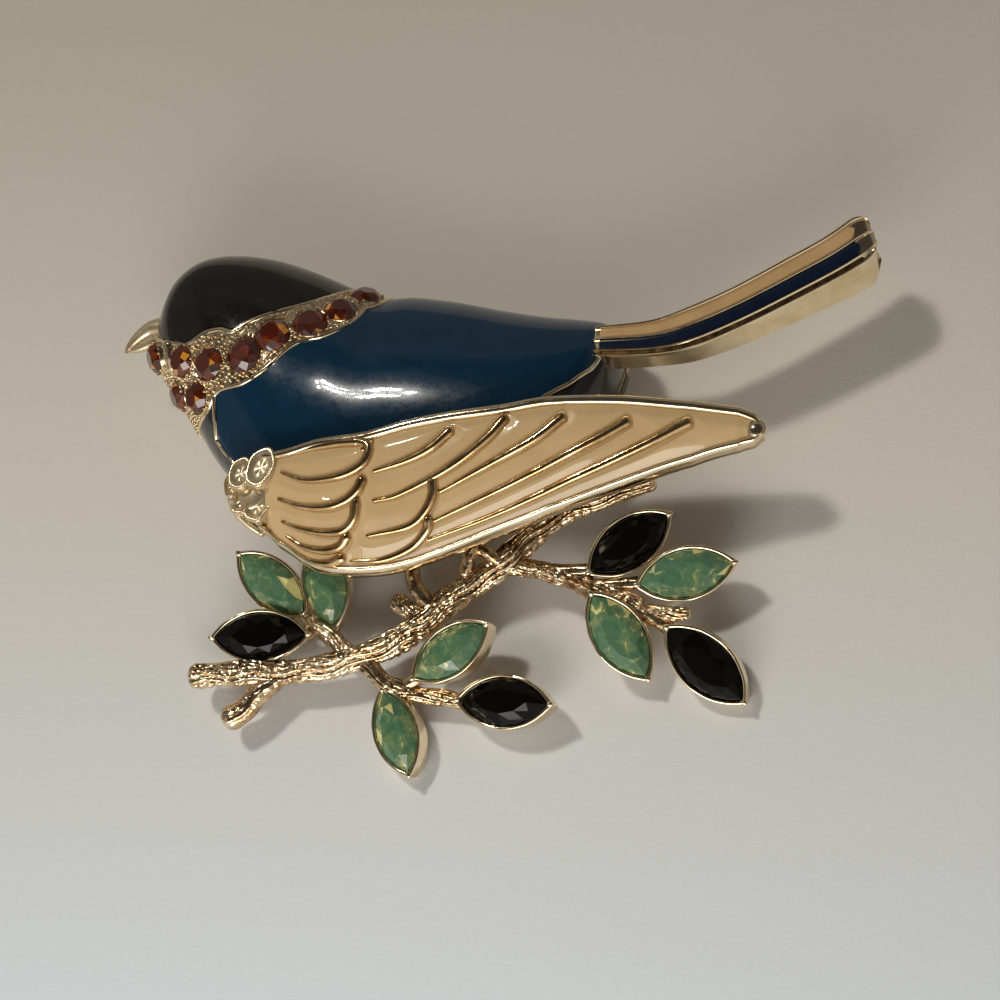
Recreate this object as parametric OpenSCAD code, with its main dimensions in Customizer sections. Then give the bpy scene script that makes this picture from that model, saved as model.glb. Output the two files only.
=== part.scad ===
// Bird brooch lying face up: +X runs from the beak to the tail, +Y from the
// branch to the bird's back, +Z out of its face. z = 0 is the table.
// The tables hold shares of the named sizes, one row for each section or fold.

/* [Body] */
// Length of the body from the breast to the rump
body_len = 48; // [44:0.5:52]
// Width of the body's outline, crown of the head to the belly
body_wide = 30; // [28:0.5:32]
// Rise of the body's dome above its rim
body_rise = 7.5; // [6.5:0.25:8.5]
// Height of the casting's back edge above the table
back_lift = 3.4; // [3:0.1:4.5]
// Depth of the plain metal rim below the dome
rim_deep = 0.9; // [0.6:0.1:1.5]
// Thickness of the cast metal
wall = 1.2; // [0.9:0.1:1.6]
// Depth of the enamel on the body
enamel = 0.7; // [0.4:0.1:1]
// Width of the raised metal lines between enamels
line_wide = 0.4; // [0.3:0.05:0.7]
// Clearance between neighbouring pieces
gap = 0.08; // [0.05:0.01:0.15]

/* [Beak] */
// Length of the beak from the face to its tip
beak_len = 3.6; // [2.5:0.1:5]
// Depth of the beak at its root
beak_deep = 2.1; // [1.5:0.1:3]

/* [Collar] */
// Diameter of the largest round stone
stone_d = 2.75; // [2.2:0.05:3]
// Depth of a round stone's seat
seat_deep = 1.05; // [0.8:0.05:1.2]
// Height of the collar above the body's surface
collar_proud = 0.12; // [0:0.02:0.3]

/* [Tail] */
// Length of the tail from the rump to its tip
tail_len = 24.6; // [20:0.2:30]
// Width of the tail near its tip
tail_wide = 4.4; // [3.6:0.1:5.2]
// Depth of the tail's side wall at its tip
tail_deep = 3; // [2:0.1:4]
// Height of the tail's face above the table
tail_top = 10; // [9.4:0.1:10.6]

/* [Wing] */
// Length of the wing from the shoulder to its tip
wing_len = 46; // [42:0.5:50]
// Width of the wing across its broadest part
wing_wide = 12; // [11:0.2:13]
// Thickness of the wing under its enamel face
wing_thick = 1.1; // [0.9:0.05:1.3]
// Height of the wing's upper edge above the crown of the body
wing_sit = 1.45; // [1.4:0.05:2]
// Drop of the wing from its upper edge to its lower edge
wing_fall = 4.6; // [4:0.1:5]
// Rise of the wing's dome
wing_bulge = 0.9; // [0.6:0.1:1.4]
// Depth of the enamel in the wing
wing_enamel_deep = 0.5; // [0.3:0.05:0.6]
// Width of the wing's raised rim
wing_rim = 0.85; // [0.6:0.05:1.2]
// Height of the rim and ridges above the wing's enamel
ridge_rise = 0.35; // [0.2:0.05:0.6]
// Width of a feather ridge
ridge_wide = 0.6; // [0.4:0.05:0.8]

/* [Branch] */
// Length of the branch from its cut end to its far end
branch_len = 42; // [38:0.5:46]
// Spread of the branch and leaves across the brooch
branch_wide = 22; // [20:0.5:24]
// Height of the branch's middle above the table
branch_lift = 3.6; // [3.2:0.1:4.2]
// Diameter of the main stem
stem_d = 2; // [1.6:0.1:2.4]
// Diameter of a side twig
twig_d = 1.4; // [1:0.1:1.8]
// Diameter of a leg
leg_d = 1.3; // [1:0.1:1.7]

/* [Leaves] */
// Length of a leaf stone
leaf_len = 8.2; // [7.4:0.1:8.8]
// Width of a leaf stone
leaf_wide = 4.1; // [3.5:0.1:4.6]
// Height of a leaf stone's crown above its girdle
leaf_crown = 0.9; // [0.6:0.1:1.4]
// Depth of a leaf stone below its girdle
leaf_sunk = 1.1; // [0.8:0.1:1.3]
// Thickness of a leaf cup's wall
cup_wall = 0.42; // [0.3:0.02:0.6]
// Depth of a leaf cup
cup_deep = 2; // [1.7:0.1:2.3]

/* [Pin] */
// Length of the pin back's bar
bar_len = 31; // [28:0.5:33]
// Width of the pin back's bar
bar_wide = 3.4; // [2.6:0.1:4]
// Thickness of the pin back's bar
bar_thick = 0.8; // [0.6:0.05:1]
// Diameter of the pin stem
pin_d = 0.9; // [0.7:0.05:1.1]
// Length of the hinge block and of the catch block
block_len = 3.2; // [2.4:0.1:4]

/* [Hidden] */

GOLD = "#e2c58e";
BLACK = "#17130f";
TEAL = "#12395a";
SLATE = "#24282e";
CREAM = "#d9c7a2";
OPAL = "#5da377";
AMBER = "#a8380c";

// Where the body stands in the row's frame: its breast, its middle line and its dome's foot
body_west = -34.1;
body_mid = 11.3;
dome_foot = back_lift + rim_deep;
body_top = dome_foot + body_rise;
// Half-width under which an inset shrinks in proportion
thin_half = 3;

// One row for each section across the body: its place along the body, its back edge and
// its breast edge and the shift of its crown as shares of the width, its rise as a share
BODY = [ // along, back, breast, crown shift, rise
    [0.000, 0.180, 0.180, 0.000, 0.00],
    [0.008, 0.263, 0.100, 0.010, 0.34],
    [0.025, 0.330, 0.040, 0.027, 0.58],
    [0.056, 0.407, -0.017, 0.040, 0.80],
    [0.104, 0.460, -0.113, 0.053, 0.94],
    [0.169, 0.473, -0.253, 0.067, 1.00],
    [0.248, 0.457, -0.373, 0.060, 1.02],
    [0.331, 0.413, -0.440, 0.033, 1.01],
    [0.415, 0.353, -0.480, 0.013, 1.00],
    [0.481, 0.310, -0.497, 0.000, 1.00],
    [0.556, 0.310, -0.500, 0.000, 1.01],
    [0.648, 0.287, -0.493, 0.000, 1.02],
    [0.748, 0.250, -0.467, 0.000, 1.01],
    [0.835, 0.223, -0.387, 0.000, 0.97],
    [0.908, 0.207, -0.270, 0.000, 0.90],
    [0.955, 0.190, -0.137, 0.000, 0.78],
    [0.979, 0.153, -0.037, 0.000, 0.56],
    [0.990, 0.067, 0.067, 0.000, 0.00]];
body_rows = len(BODY);

// Seams between the body's fields: along, across, as shares of the body's length and width
CAP_SEAM = [
    [0.000, 0.170], [0.050, 0.110], [0.088, 0.088], [0.126, 0.071], [0.165, 0.097],
    [0.200, 0.104], [0.227, 0.094], [0.254, 0.120], [0.288, 0.149], [0.337, 0.185],
    [0.392, 0.241], [0.433, 0.310], [0.455, 0.345]];
NAPE_SEAM = [
    [0.125, -0.167], [0.156, -0.155], [0.180, -0.138], [0.194, -0.107], [0.212, -0.090],
    [0.261, -0.079], [0.299, -0.048], [0.324, -0.010], [0.349, 0.034], [0.372, 0.063],
    [0.415, 0.088], [0.456, 0.137], [0.477, 0.209], [0.496, 0.235], [0.510, 0.300]];
// The lower seam of the back runs hidden under the wing, then comes up to the rump
BACK_SEAM = [
    [0.190, -0.215], [0.248, -0.310], [0.331, -0.370], [0.448, -0.360], [0.594, -0.295], [0.719, -0.255],
    [0.823, -0.225], [0.866, -0.140], [0.888, -0.113], [0.913, -0.085], [0.935, -0.050],
    [0.955, -0.013], [0.967, 0.050], [0.975, 0.160]];

// Ends of the enamel fields and of the collar, as shares along the body
cap_west = 0.006;
cap_east = 0.4505;
back_west = 0.196;
back_east = 0.9652;
breast_west = 0.127;
breast_east = 0.330;
rump_west = 0.868;
rump_east = 0.987;
collar_west = 0.012;
collar_east = 0.500;
bed_deep = enamel + 0.4;
line_proud = 0.07;

// Round stones: along and across the body, size and height of the seat above the collar
// as shares of the largest
COLLAR = [ // along, across, size, seat
    [0.030, 0.085, 0.90, 0.12],
    [0.112, 0.028, 0.92, 0.03],
    [0.182, -0.003, 1.00, 0.03],
    [0.263, 0.013, 1.06, 0.03],
    [0.315, 0.077, 1.02, 0.03],
    [0.383, 0.131, 0.96, 0.03],
    [0.433, 0.190, 0.78, 0.03],
    [0.463, 0.272, 0.64, 0.05],
    [0.094, -0.052, 0.76, 0.08],
    [0.152, -0.092, 0.78, 0.03]];

// Tail sections: along, upper edge and lower edge across in tail widths from the root's
// middle, depth of the wall as a share
TAIL = [ // upper along, upper across, lower along, lower across, depth
    [-0.035, 0.34, -0.035, -0.34, 0.94],
    [0.170, 0.46, 0.190, -0.34, 0.66],
    [0.310, 0.75, 0.340, -0.18, 0.70],
    [0.470, 1.18, 0.515, 0.25, 0.78],
    [0.645, 1.75, 0.705, 0.82, 0.88],
    [0.790, 2.21, 0.860, 1.32, 0.96],
    [0.915, 2.70, 0.968, 1.70, 1.00]];
// How far the tail's root reaches into the rump, and its middle
tail_bite = 1.5;
tail_west = body_west + body_len - tail_bite;
tail_mid = 13.2;
// The scalloped end: how many lobes and how far they stand out
tail_lobes = 4;
tail_lobe = 0.6;

// Wing sections: along, upper edge, its height, lower edge, its height
WING = [ // along, upper across, upper drop, lower across, lower drop
    [0.000, 0.155, -0.36, -0.420, -0.98],
    [0.045, 0.155, -0.30, -0.540, -1.02],
    [0.130, 0.225, -0.17, -0.720, -1.06],
    [0.228, 0.258, -0.07, -0.745, -1.06],
    [0.318, 0.345, -0.02, -0.695, -1.02],
    [0.405, 0.405, 0.00, -0.575, -0.98],
    [0.505, 0.455, 0.00, -0.425, -0.92],
    [0.592, 0.519, -0.04, -0.290, -0.86],
    [0.731, 0.542, -0.17, -0.090, -0.80],
    [0.865, 0.525, -0.38, 0.085, -0.73],
    [0.953, 0.468, -0.54, 0.200, -0.69],
    [0.988, 0.390, -0.62, 0.260, -0.67],
    [1.000, 0.335, -0.65, 0.305, -0.66]];
wing_west = -18.6;
wing_mid = 0.3;
wing_rows = len(WING);
// Width of wing over which the dome rises to its full height
bulge_full = 9;

// Feather ridges: points along and across the wing, as shares of its length and width
RIDGES = [
    [[0.208, 0.190], [0.241, 0.142], [0.237, 0.025], [0.208, -0.058], [0.165, -0.100],
     [0.110, -0.108], [0.058, -0.042]],
    [[0.234, -0.120], [0.224, -0.190], [0.198, -0.267], [0.155, -0.308], [0.102, -0.292],
     [0.054, -0.233]],
    [[0.222, -0.275], [0.215, -0.392], [0.191, -0.467], [0.148, -0.475], [0.100, -0.442],
     [0.060, -0.385]],
    [[0.200, -0.508], [0.185, -0.567], [0.150, -0.592], [0.105, -0.558], [0.068, -0.480]],
    [[0.187, -0.640], [0.160, -0.672], [0.128, -0.662], [0.095, -0.610]],
    [[0.406, 0.242], [0.370, 0.117], [0.324, 0.025], [0.257, -0.058]],
    [[0.513, 0.333], [0.478, 0.175], [0.409, -0.025], [0.311, -0.217], [0.258, -0.267]],
    [[0.376, -0.133], [0.376, -0.217], [0.359, -0.333], [0.324, -0.433], [0.243, -0.500]],
    [[0.365, -0.383], [0.361, -0.450], [0.328, -0.567], [0.270, -0.648], [0.205, -0.660]],
    [[0.626, 0.350], [0.576, 0.192], [0.502, 0.033], [0.391, -0.192]],
    [[0.748, 0.333], [0.687, 0.192], [0.548, -0.083], [0.378, -0.383]],
    [[0.861, 0.350], [0.776, 0.175], [0.641, -0.067], [0.500, -0.308], [0.363, -0.508]]];

// Petals of the shoulder flower: along and across the wing, size in petal widths
PETALS = [
    [-0.062, -0.010, 1.0], [-0.050, 0.090, 1.1], [-0.012, 0.120, 1.15],
    [-0.028, 0.000, 1.15], [-0.056, -0.125, 1.1], [-0.014, -0.120, 1.1],
    [-0.040, -0.235, 1.15], [-0.006, -0.260, 1.1], [-0.016, -0.350, 1.0]];
petal_d = 2.1;
petal_sunk = 0.35;

// Posts that hold the wing on the body: along and across the wing
POSTS = [[0.160, -0.190], [0.500, 0.100]];
post_long = 3;
post_d = 1.6;

// Routes of the branch: along and across from its cut end, height and thickness as shares
branch_west = -25.1;
branch_south = -17.1;
STEM = [ // along, across, height, thickness
    [0.000, 0.000, 0.86, 1.05], [0.055, 0.012, 0.86, 0.95], [0.107, 0.020, 0.85, 1.12],
    [0.224, 0.032, 0.85, 0.98], [0.312, 0.060, 0.88, 1.06], [0.393, 0.112, 0.92, 1.00],
    [0.467, 0.180, 0.95, 1.12], [0.529, 0.275, 0.98, 1.06], [0.560, 0.335, 1.00, 1.18],
    [0.621, 0.420, 1.02, 1.02], [0.693, 0.530, 1.08, 1.16], [0.757, 0.650, 1.12, 0.92],
    [0.822, 0.738, 1.16, 0.86], [0.898, 0.792, 1.20, 0.80], [0.992, 0.858, 1.26, 0.74]];
STUB = [
    [0.215, 0.045, 0.80, 0.80], [0.160, -0.050, 0.80, 0.95], [0.126, -0.125, 0.74, 1.00],
    [0.092, -0.168, 0.70, 1.10]];
LEFT_TWIG = [
    [0.360, 0.100, 0.90, 1.10], [0.314, 0.172, 0.85, 1.00], [0.279, 0.215, 0.82, 0.95],
    [0.250, 0.250, 0.78, 1.05]];
MIDDLE_TWIG = [
    [0.398, 0.070, 0.88, 1.15], [0.436, 0.005, 0.80, 1.00], [0.476, -0.024, 0.70, 1.08],
    [0.521, -0.041, 0.62, 0.95], [0.567, -0.046, 0.58, 1.00], [0.611, -0.061, 0.56, 0.86]];
RIGHT_TWIG = [
    [0.655, 0.500, 1.04, 1.15], [0.700, 0.495, 1.05, 1.00], [0.764, 0.482, 1.06, 1.08],
    [0.812, 0.452, 1.07, 1.08], [0.876, 0.420, 1.06, 0.96], [0.923, 0.386, 1.06, 1.00],
    [0.986, 0.340, 1.10, 0.90]];
KNOB = [[0.515, 0.275, 0.96, 1.00], [0.480, 0.305, 0.97, 1.10], [0.452, 0.338, 0.98, 1.20]];
SPUR = [[1.010, 0.320, 1.05, 0.70], [1.060, 0.300, 1.12, 0.85], [1.090, 0.302, 1.15, 0.75]];

// Leaves: middle along and across from the branch's cut end, height as a share of the
// branch's, turn of the long axis, lean and its direction in degrees, size as a share,
// whether it is green, and the end that its stalk meets
LEAVES = [ // along, across, height, turn, lean, lean to, size, green, stalk
    [0.157, 0.397, 1.20, -37.8, 22, -64, 0.97, 1, 1],
    [0.282, 0.407, 1.15, -79.0, 20, -91, 0.98, 1, 1],
    [0.145, 0.171, 1.12, 6.2, 17, -56, 1.04, 0, 1],
    [0.590, 0.117, 1.25, 34.0, 13, -124, 0.97, 1, -1],
    [0.475, -0.199, 0.68, -67.0, 13, -124, 0.93, 1, -1],
    [0.711, -0.070, 0.90, -3.0, 13, -124, 1.03, 0, -1],
    [0.962, 0.577, 1.45, 38.0, 24, -59, 1.00, 0, -1],
    [1.085, 0.458, 1.33, 15.7, 27, -69, 1.00, 1, -1],
    [0.953, 0.203, 1.15, -53.4, 24, -59, 1.02, 1, -1],
    [1.131, 0.111, 0.82, -40.4, 25, -87, 1.06, 0, -1]];

// Legs: their routes from the belly to the branch, along and across as the branch's,
// height and thickness as shares
LEGS = [
    [[0.500, 0.680, 1.38, 1.10], [0.495, 0.560, 1.45, 1.00], [0.490, 0.455, 1.45, 0.95],
     [0.500, 0.380, 1.36, 1.00], [0.530, 0.320, 1.20, 1.10]],
    [[0.635, 0.700, 1.42, 1.10], [0.628, 0.590, 1.48, 1.00], [0.615, 0.515, 1.42, 0.95],
     [0.605, 0.455, 1.25, 1.00]],
    [[0.620, 0.560, 1.36, 0.75], [0.655, 0.530, 1.45, 0.80], [0.680, 0.500, 1.25, 0.85]]];

// The pin back lies along the body's middle
pin_x = -3.6;
pin_y = 8.9;
bridge_wide = 2.6;
bridge_deep = 1.3;

// Sides of the swept tubes, sections of the body's outside and inside and angles across them
tube_sides = 6;
LOFT_ROWS = [0.12, 0.5, each [1:body_rows - 2], body_rows - 1.5, body_rows - 1.12];
CAVITY_ROWS = [0.5, each [2:2:body_rows - 3], body_rows - 1.5];
LOFT_ANGLES = [0:22.5:180];

// Values between the rows of a table, on a smooth curve through them
function between(a, b, c, d, f) =
    0.5 * (2 * b + (c - a) * f + (2 * a - 5 * b + 4 * c - d) * f * f
           + (3 * b - a - 3 * c + d) * f * f * f);
function turned(row) = [row[0], row[2], row[1], row[3], -row[4]];
function body_key(k) =
    k < 0 ? turned(BODY[1]) : k >= body_rows ? turned(BODY[body_rows - 2]) : BODY[k];
function body_row(i) =
    let (k = max(0, min(floor(i), body_rows - 2)))
    between(body_key(k - 1), body_key(k), body_key(k + 1), body_key(k + 2), i - k);
// Row index at a share along the body, by halving
function row_at(along, low = 0, high = body_rows - 1, turns = 16) =
    turns == 0 ? (low + high) / 2 :
    let (mid = (low + high) / 2)
    body_row(mid)[0] < along ? row_at(along, mid, high, turns - 1)
                             : row_at(along, low, mid, turns - 1);
function inset(size, deep) = size - deep * min(1, size / thin_half);

// A point of the body's dome: row index, angle from the back edge, depth below the face
function dome(i, angle, deep) =
    let (r = body_row(i),
         half = (r[1] - r[2]) / 2 * body_wide,
         x = body_len * (r[0] - 0.5) * (1 - deep / (body_len / 2)))
    [body_west + body_len / 2 + x,
     body_mid + (r[1] + r[2]) / 2 * body_wide + inset(half, deep) * cos(angle)
         + r[3] * body_wide * pow(sin(angle), 2),
     dome_foot + inset(r[4] * body_rise, deep) * sin(angle)];
// Angle at which a section reaches a share across the body
function angle_at(i, across) =
    let (r = body_row(i), half = (r[1] - r[2]) / 2, off = across - (r[1] + r[2]) / 2,
         c = r[3],
         turn = abs(c) < 0.0001 ? off / half
                : (half - sqrt(max(0, half * half - 4 * c * (off - c)))) / (2 * c))
    acos(max(-1, min(1, turn)));
function seam_angle(i, seam) = angle_at(i, lookup(body_row(i)[0], seam));
function unit(v) = v / norm(v);
function dome_normal(i, angle) =
    unit(cross(dome(i + 0.02, angle, 0) - dome(i - 0.02, angle, 0),
               dome(i, angle - 1, 0) - dome(i, angle + 1, 0)));

// Closed solid between two grids of points, the face above and the back below it
module slab(face, back, nu, nv) {
    m = nv + 1;
    n = (nu + 1) * m;
    polyhedron(points = concat(face, back), faces = [
        for (u = [0:nu - 1], v = [0:nv - 1])
            let (a = u * m + v, b = a + 1, c = a + m, d = c + 1)
            each [[a, c, d], [a, d, b], [n + a, n + d, n + c], [n + a, n + b, n + d]],
        for (v = [0:nv - 1])
            let (a = v, b = v + 1, c = nu * m + v, d = c + 1)
            each [[a, b, n + b], [a, n + b, n + a], [d, c, n + c], [d, n + c, n + d]],
        for (u = [0:nu - 1])
            let (a = u * m, c = a + m, b = a + nv, d = c + nv)
            each [[c, a, n + a], [c, n + a, n + c], [b, d, n + d], [b, n + d, n + b]]]);
}

// Closed solid through a list of rings of as many points each
module sleeve(rings) {
    m = len(rings[0]);
    n = len(rings);
    polyhedron(points = [for (ring = rings) each ring], faces = concat(
        [for (k = [0:n - 2], j = [0:m - 1])
            let (a = k * m + j, b = k * m + (j + 1) % m, c = a + m, d = b + m)
            each [[a, c, d], [a, d, b]]],
        [for (j = [1:m - 2]) [0, j, j + 1]],
        [for (j = [1:m - 2]) [(n - 1) * m, (n - 1) * m + j + 1, (n - 1) * m + j]]));
}

// Swept tube through points with a radius each: [x, y, z, radius]
function tube_ring(path, k) =
    let (n = len(path), p = path[k],
         before = path[max(0, k - 1)], after = path[min(n - 1, k + 1)],
         way = unit([after[0] - before[0], after[1] - before[1], after[2] - before[2]]),
         side = unit(cross([0, 0, 1], way)), up = cross(way, side))
    [for (j = [0:tube_sides - 1]) let (t = 360 * j / tube_sides)
        [p[0], p[1], p[2]] + p[3] * (cos(t) * side + sin(t) * up)];
module tube(path) {
    sleeve([for (k = [0:len(path) - 1]) tube_ring(path, k)]);
}

// A field of the body at a list of row indices, between two angle functions, grown sideways
function evenly(west, east, nu) = [for (u = [0:nu]) west + (east - west) * u / nu];
module field(rows, upper, lower, top_deep, low_deep, nv, grow = 0) {
    turns = [for (i = rows)
        let (g = wide_angle(i, grow), a = upper(i), b = max(lower(i), a + 1))
        each [if (grow > 0) [i, a - g],
              for (v = [0:nv]) [i, a + (b - a) * v / nv],
              if (grow > 0) [i, b + g]]];
    slab([for (t = turns) dome(t[0], t[1], top_deep)],
         [for (t = turns) dome(t[0], t[1], low_deep)],
         len(rows) - 1, grow > 0 ? nv + 2 : nv);
}

// Degrees that a width on the dome covers at a row
function wide_angle(i, wide) =
    let (r = body_row(i))
    wide / max(1.5, (r[1] - r[2]) / 2 * body_wide) * 57.3;
function share_on(along, wide) = along + wide / body_len;

// Angle between the dome's foot and the enamels' outer edges
edge_angle = 4;
side_wide = line_wide / 2 + gap;
function above(i, seam, wide) = seam_angle(i, seam) - wide_angle(i, wide);
function below(i, seam, wide) = seam_angle(i, seam) + wide_angle(i, wide);

// The enamel fields; grown, each is the cut for its bed in the casting
module enamel_field(west, east, upper, lower, grow, nu, nv, deeper = 0) {
    rows = evenly(row_at(west), row_at(east), nu);
    if (grow > 0)
        field([row_at(share_on(west, -grow)), each rows, row_at(share_on(east, grow))],
              upper, lower, -cut_over, enamel + grow + deeper, nv, grow);
    else
        field(rows, upper, lower, 0, enamel, nv);
}
cut_over = 0.5;
// The tail's lower edge at its root, as a share across the body
tail_foot = (tail_mid - 0.34 * tail_wide - body_mid) / body_wide;
module cap_field(grow) {
    enamel_field(cap_west, cap_east, function (i) edge_angle,
                 function (i) above(i, CAP_SEAM, side_wide), grow, 12, 6);
}
module back_field(grow, deeper = 0) {
    enamel_field(back_west, back_east,
                 function (i) body_row(i)[0] < collar_east ? below(i, NAPE_SEAM, side_wide)
                                                           : edge_angle,
                 function (i) above(i, BACK_SEAM, side_wide), grow, 15, 7, deeper);
}
// The breast and the rump reach under the back's field, which is then taken off them
// with the line's width
module breast_field(grow) {
    difference() {
        enamel_field(breast_west, breast_east,
                     function (i) body_row(i)[0] < share_on(back_west, under_back)
                                      ? below(i, NAPE_SEAM, side_wide)
                                      : above(i, BACK_SEAM, under_back),
                     function (i) 180 - edge_angle, grow, 10, 3);
        back_field(line_wide + 2 * gap - grow, enamel);
    }
}
module rump_field(grow) {
    difference() {
        enamel_field(rump_west, rump_east,
                     function (i) max(above(i, BACK_SEAM, under_back), angle_at(i, tail_foot)),
                     function (i) 180 - edge_angle, grow, 8, 4);
        back_field(line_wide + 2 * gap - grow, enamel);
    }
}
under_back = 1.2;

// Closed body solid at a depth below the face, down to a height
function body_ring(i, deep, low, angles) =
    concat([for (a = angles) dome(i, a, deep)],
           [let (p = dome(i, 180, deep)) [p[0], p[1], low],
            let (p = dome(i, 0, deep)) [p[0], p[1], low]]);
module body_solid(deep, low, rows) {
    sleeve([for (i = rows) body_ring(i, deep, low, LOFT_ANGLES)]);
}

// The collar's plate; the beds beside it trim its edges
module collar() {
    field(evenly(row_at(collar_west), row_at(collar_east), 16),
          function (i) body_row(i)[0] < cap_east ? above(i, CAP_SEAM, line_wide) : 0,
          function (i) body_row(i)[0] < NAPE_SEAM[0][0] ? 180 : below(i, NAPE_SEAM, line_wide),
          -collar_proud, bed_deep, 4);
    for (k = [0:len(COLLAR) - 1]) collar_setting(k);
}

// Raised line that parts the back's enamel from the breast and the rump
module back_line() {
    field(evenly(row_at(back_west), row_at(share_on(back_east, -line_wide)), 15),
          function (i) above(i, BACK_SEAM, line_wide), function (i) below(i, BACK_SEAM, line_wide),
          -line_proud, bed_deep, 1);
    field([row_at(share_on(back_west, -2 * line_wide)), row_at(back_west),
           row_at(share_on(back_west, 2 * line_wide))],
          function (i) below(i, NAPE_SEAM, 0), function (i) below(i, BACK_SEAM, line_wide),
          -line_proud, bed_deep, 5);
}

// Places a child at a point with its Z along a direction and its X near another
module set_on(point, up, along) {
    ax = unit(along - (along * up) * up);
    ay = cross(up, ax);
    multmatrix([[ax[0], ay[0], up[0], point[0]],
                [ax[1], ay[1], up[1], point[1]],
                [ax[2], ay[2], up[2], point[2]],
                [0, 0, 0, 1]])
        children();
}
module on_collar(k) {
    i = row_at(COLLAR[k][0]);
    angle = angle_at(i, COLLAR[k][1]);
    set_on(dome(i, angle, -collar_proud) + COLLAR[k][3] * stone_d * dome_normal(i, angle),
           dome_normal(i, angle), [1, 0.3, 0.1])
        children();
}
// Raised setting round a stone's seat
module collar_setting(k) {
    on_collar(k)
        translate([0, 0, -seat_deep])
        cylinder(d1 = collar_d(k) + setting_foot, d2 = collar_d(k) + setting_lip,
                 h = seat_deep, $fn = 8);
}
setting_foot = 0.9;
setting_lip = 0.5;
function collar_d(k) = COLLAR[k][2] * stone_d;
module collar_seat(k) {
    on_collar(k)
        translate([0, 0, -seat_deep])
        cylinder(d = collar_d(k) + 2 * gap, h = seat_deep + 2, $fn = 8);
}

// Cut stone: rings from the point below to the table above, [height, size]
function ring_of(d, z, sides) = [for (j = [0:sides - 1])
    [d / 2 * cos(360 * j / sides), d / 2 * sin(360 * j / sides), z]];
module round_stone(d) {
    sides = 8;
    sleeve([ring_of(0.2 * d, 0.06 - seat_deep, sides), ring_of(0.98 * d, -0.18, sides),
            ring_of(d, 0.02, sides), ring_of(0.56 * d, 0.2 * d, sides)]);
}
module collar_stone(k) {
    color(AMBER) on_collar(k) round_stone(collar_d(k));
}

// Leaf outline of two arcs through its tips
function leaf_arc(size, wide, side, steps) =
    let (radius = (size * size / 4 + wide * wide / 4) / wide,
         reach = asin(min(1, size / 2 / radius)))
    [for (k = [0:steps - 1]) let (t = side * reach * (1 - 2 * k / steps))
        [radius * sin(t), side * (radius * cos(t) - (radius - wide / 2))]];
function leaf_shape(size, wide, steps = 5) =
    concat(leaf_arc(size, wide, 1, steps), leaf_arc(size, wide, -1, steps));
function leaf_ring(size, wide, z) = [for (p = leaf_shape(size, wide)) [p[0], p[1], z]];
module leaf_stone_shape(size, wide) {
    sleeve([leaf_ring(0.5 * size, 0.42 * wide, -leaf_sunk), leaf_ring(size, wide, -0.25),
            leaf_ring(size, wide, 0), leaf_ring(0.6 * size, 0.52 * wide, leaf_crown)]);
}

// Places of the branch's points and of the leaves in the row's frame
function branch_at(p) = [branch_west + p[0] * branch_len, branch_south + p[1] * branch_wide,
                         p[2] * branch_lift];
function branch_path(rows, d) = [for (p = rows)
    let (at = branch_at(p)) [at[0], at[1], at[2], p[3] * d / 2]];
function lean_way(leaf) = [sin(leaf[4]) * cos(leaf[5]), sin(leaf[4]) * sin(leaf[5]), cos(leaf[4])];
module on_leaf(k) {
    up = lean_way(LEAVES[k]);
    turn = LEAVES[k][3];
    flat_way = [cos(turn), sin(turn), 0];
    along = [cos(turn), sin(turn), -(flat_way * up) / up[2]];
    set_on(branch_at(LEAVES[k]), up, along) children();
}
module leaf_slab(size, wide, low, high) {
    translate([0, 0, low]) linear_extrude(high - low) polygon(leaf_shape(size, wide));
}
module leaf_cup(k) {
    size = LEAVES[k][6];
    on_leaf(k) hull() {
        leaf_slab(size * leaf_len + 3 * cup_wall, size * leaf_wide + 2 * cup_wall, -0.6, 0.15);
        leaf_slab(0.8 * size * leaf_len, 0.72 * size * leaf_wide, -cup_deep, -cup_deep + 0.2);
    }
}
module leaf_seat(k) {
    size = LEAVES[k][6];
    on_leaf(k) hull() {
        leaf_slab(size * leaf_len + 2 * gap, size * leaf_wide + 2 * gap, -0.25 - gap, 3);
        leaf_slab(0.5 * size * leaf_len + 3 * gap, 0.42 * size * leaf_wide + 3 * gap,
                  -leaf_sunk - gap, -leaf_sunk);
    }
}
// Short stalk from a twig to the underside of a leaf's cup
function leaf_under(k, share, deep) =
    let (leaf = LEAVES[k], up = lean_way(leaf), flat_way = [cos(leaf[3]), sin(leaf[3]), 0],
         along = unit([flat_way[0], flat_way[1], -(flat_way * up) / up[2]]))
    branch_at(leaf) + leaf[8] * share * leaf[6] * leaf_len * along - deep * up;
module leaf_stalk(k, root) {
    tube([[each branch_at(root) - [0, 0, 0.02 * k], (0.3 + 0.01 * k) * twig_d],
          [each leaf_under(k, 0.48, 0.9), 0.42 * twig_d],
          [each leaf_under(k, 0.2, cup_deep - 0.4), 0.4 * twig_d]]);
}
module leaf_stone(k) {
    size = LEAVES[k][6];
    color(LEAVES[k][7] == 1 ? OPAL : BLACK)
        on_leaf(k)
        leaf_stone_shape(size * leaf_len, size * leaf_wide);
}

// Point of the branch that each leaf's foot runs to
LEAF_ROOTS = [
    LEFT_TWIG[3], LEFT_TWIG[2], LEFT_TWIG[3], MIDDLE_TWIG[2], MIDDLE_TWIG[1], MIDDLE_TWIG[4],
    RIGHT_TWIG[2], RIGHT_TWIG[4], RIGHT_TWIG[3], RIGHT_TWIG[5]];

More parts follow.
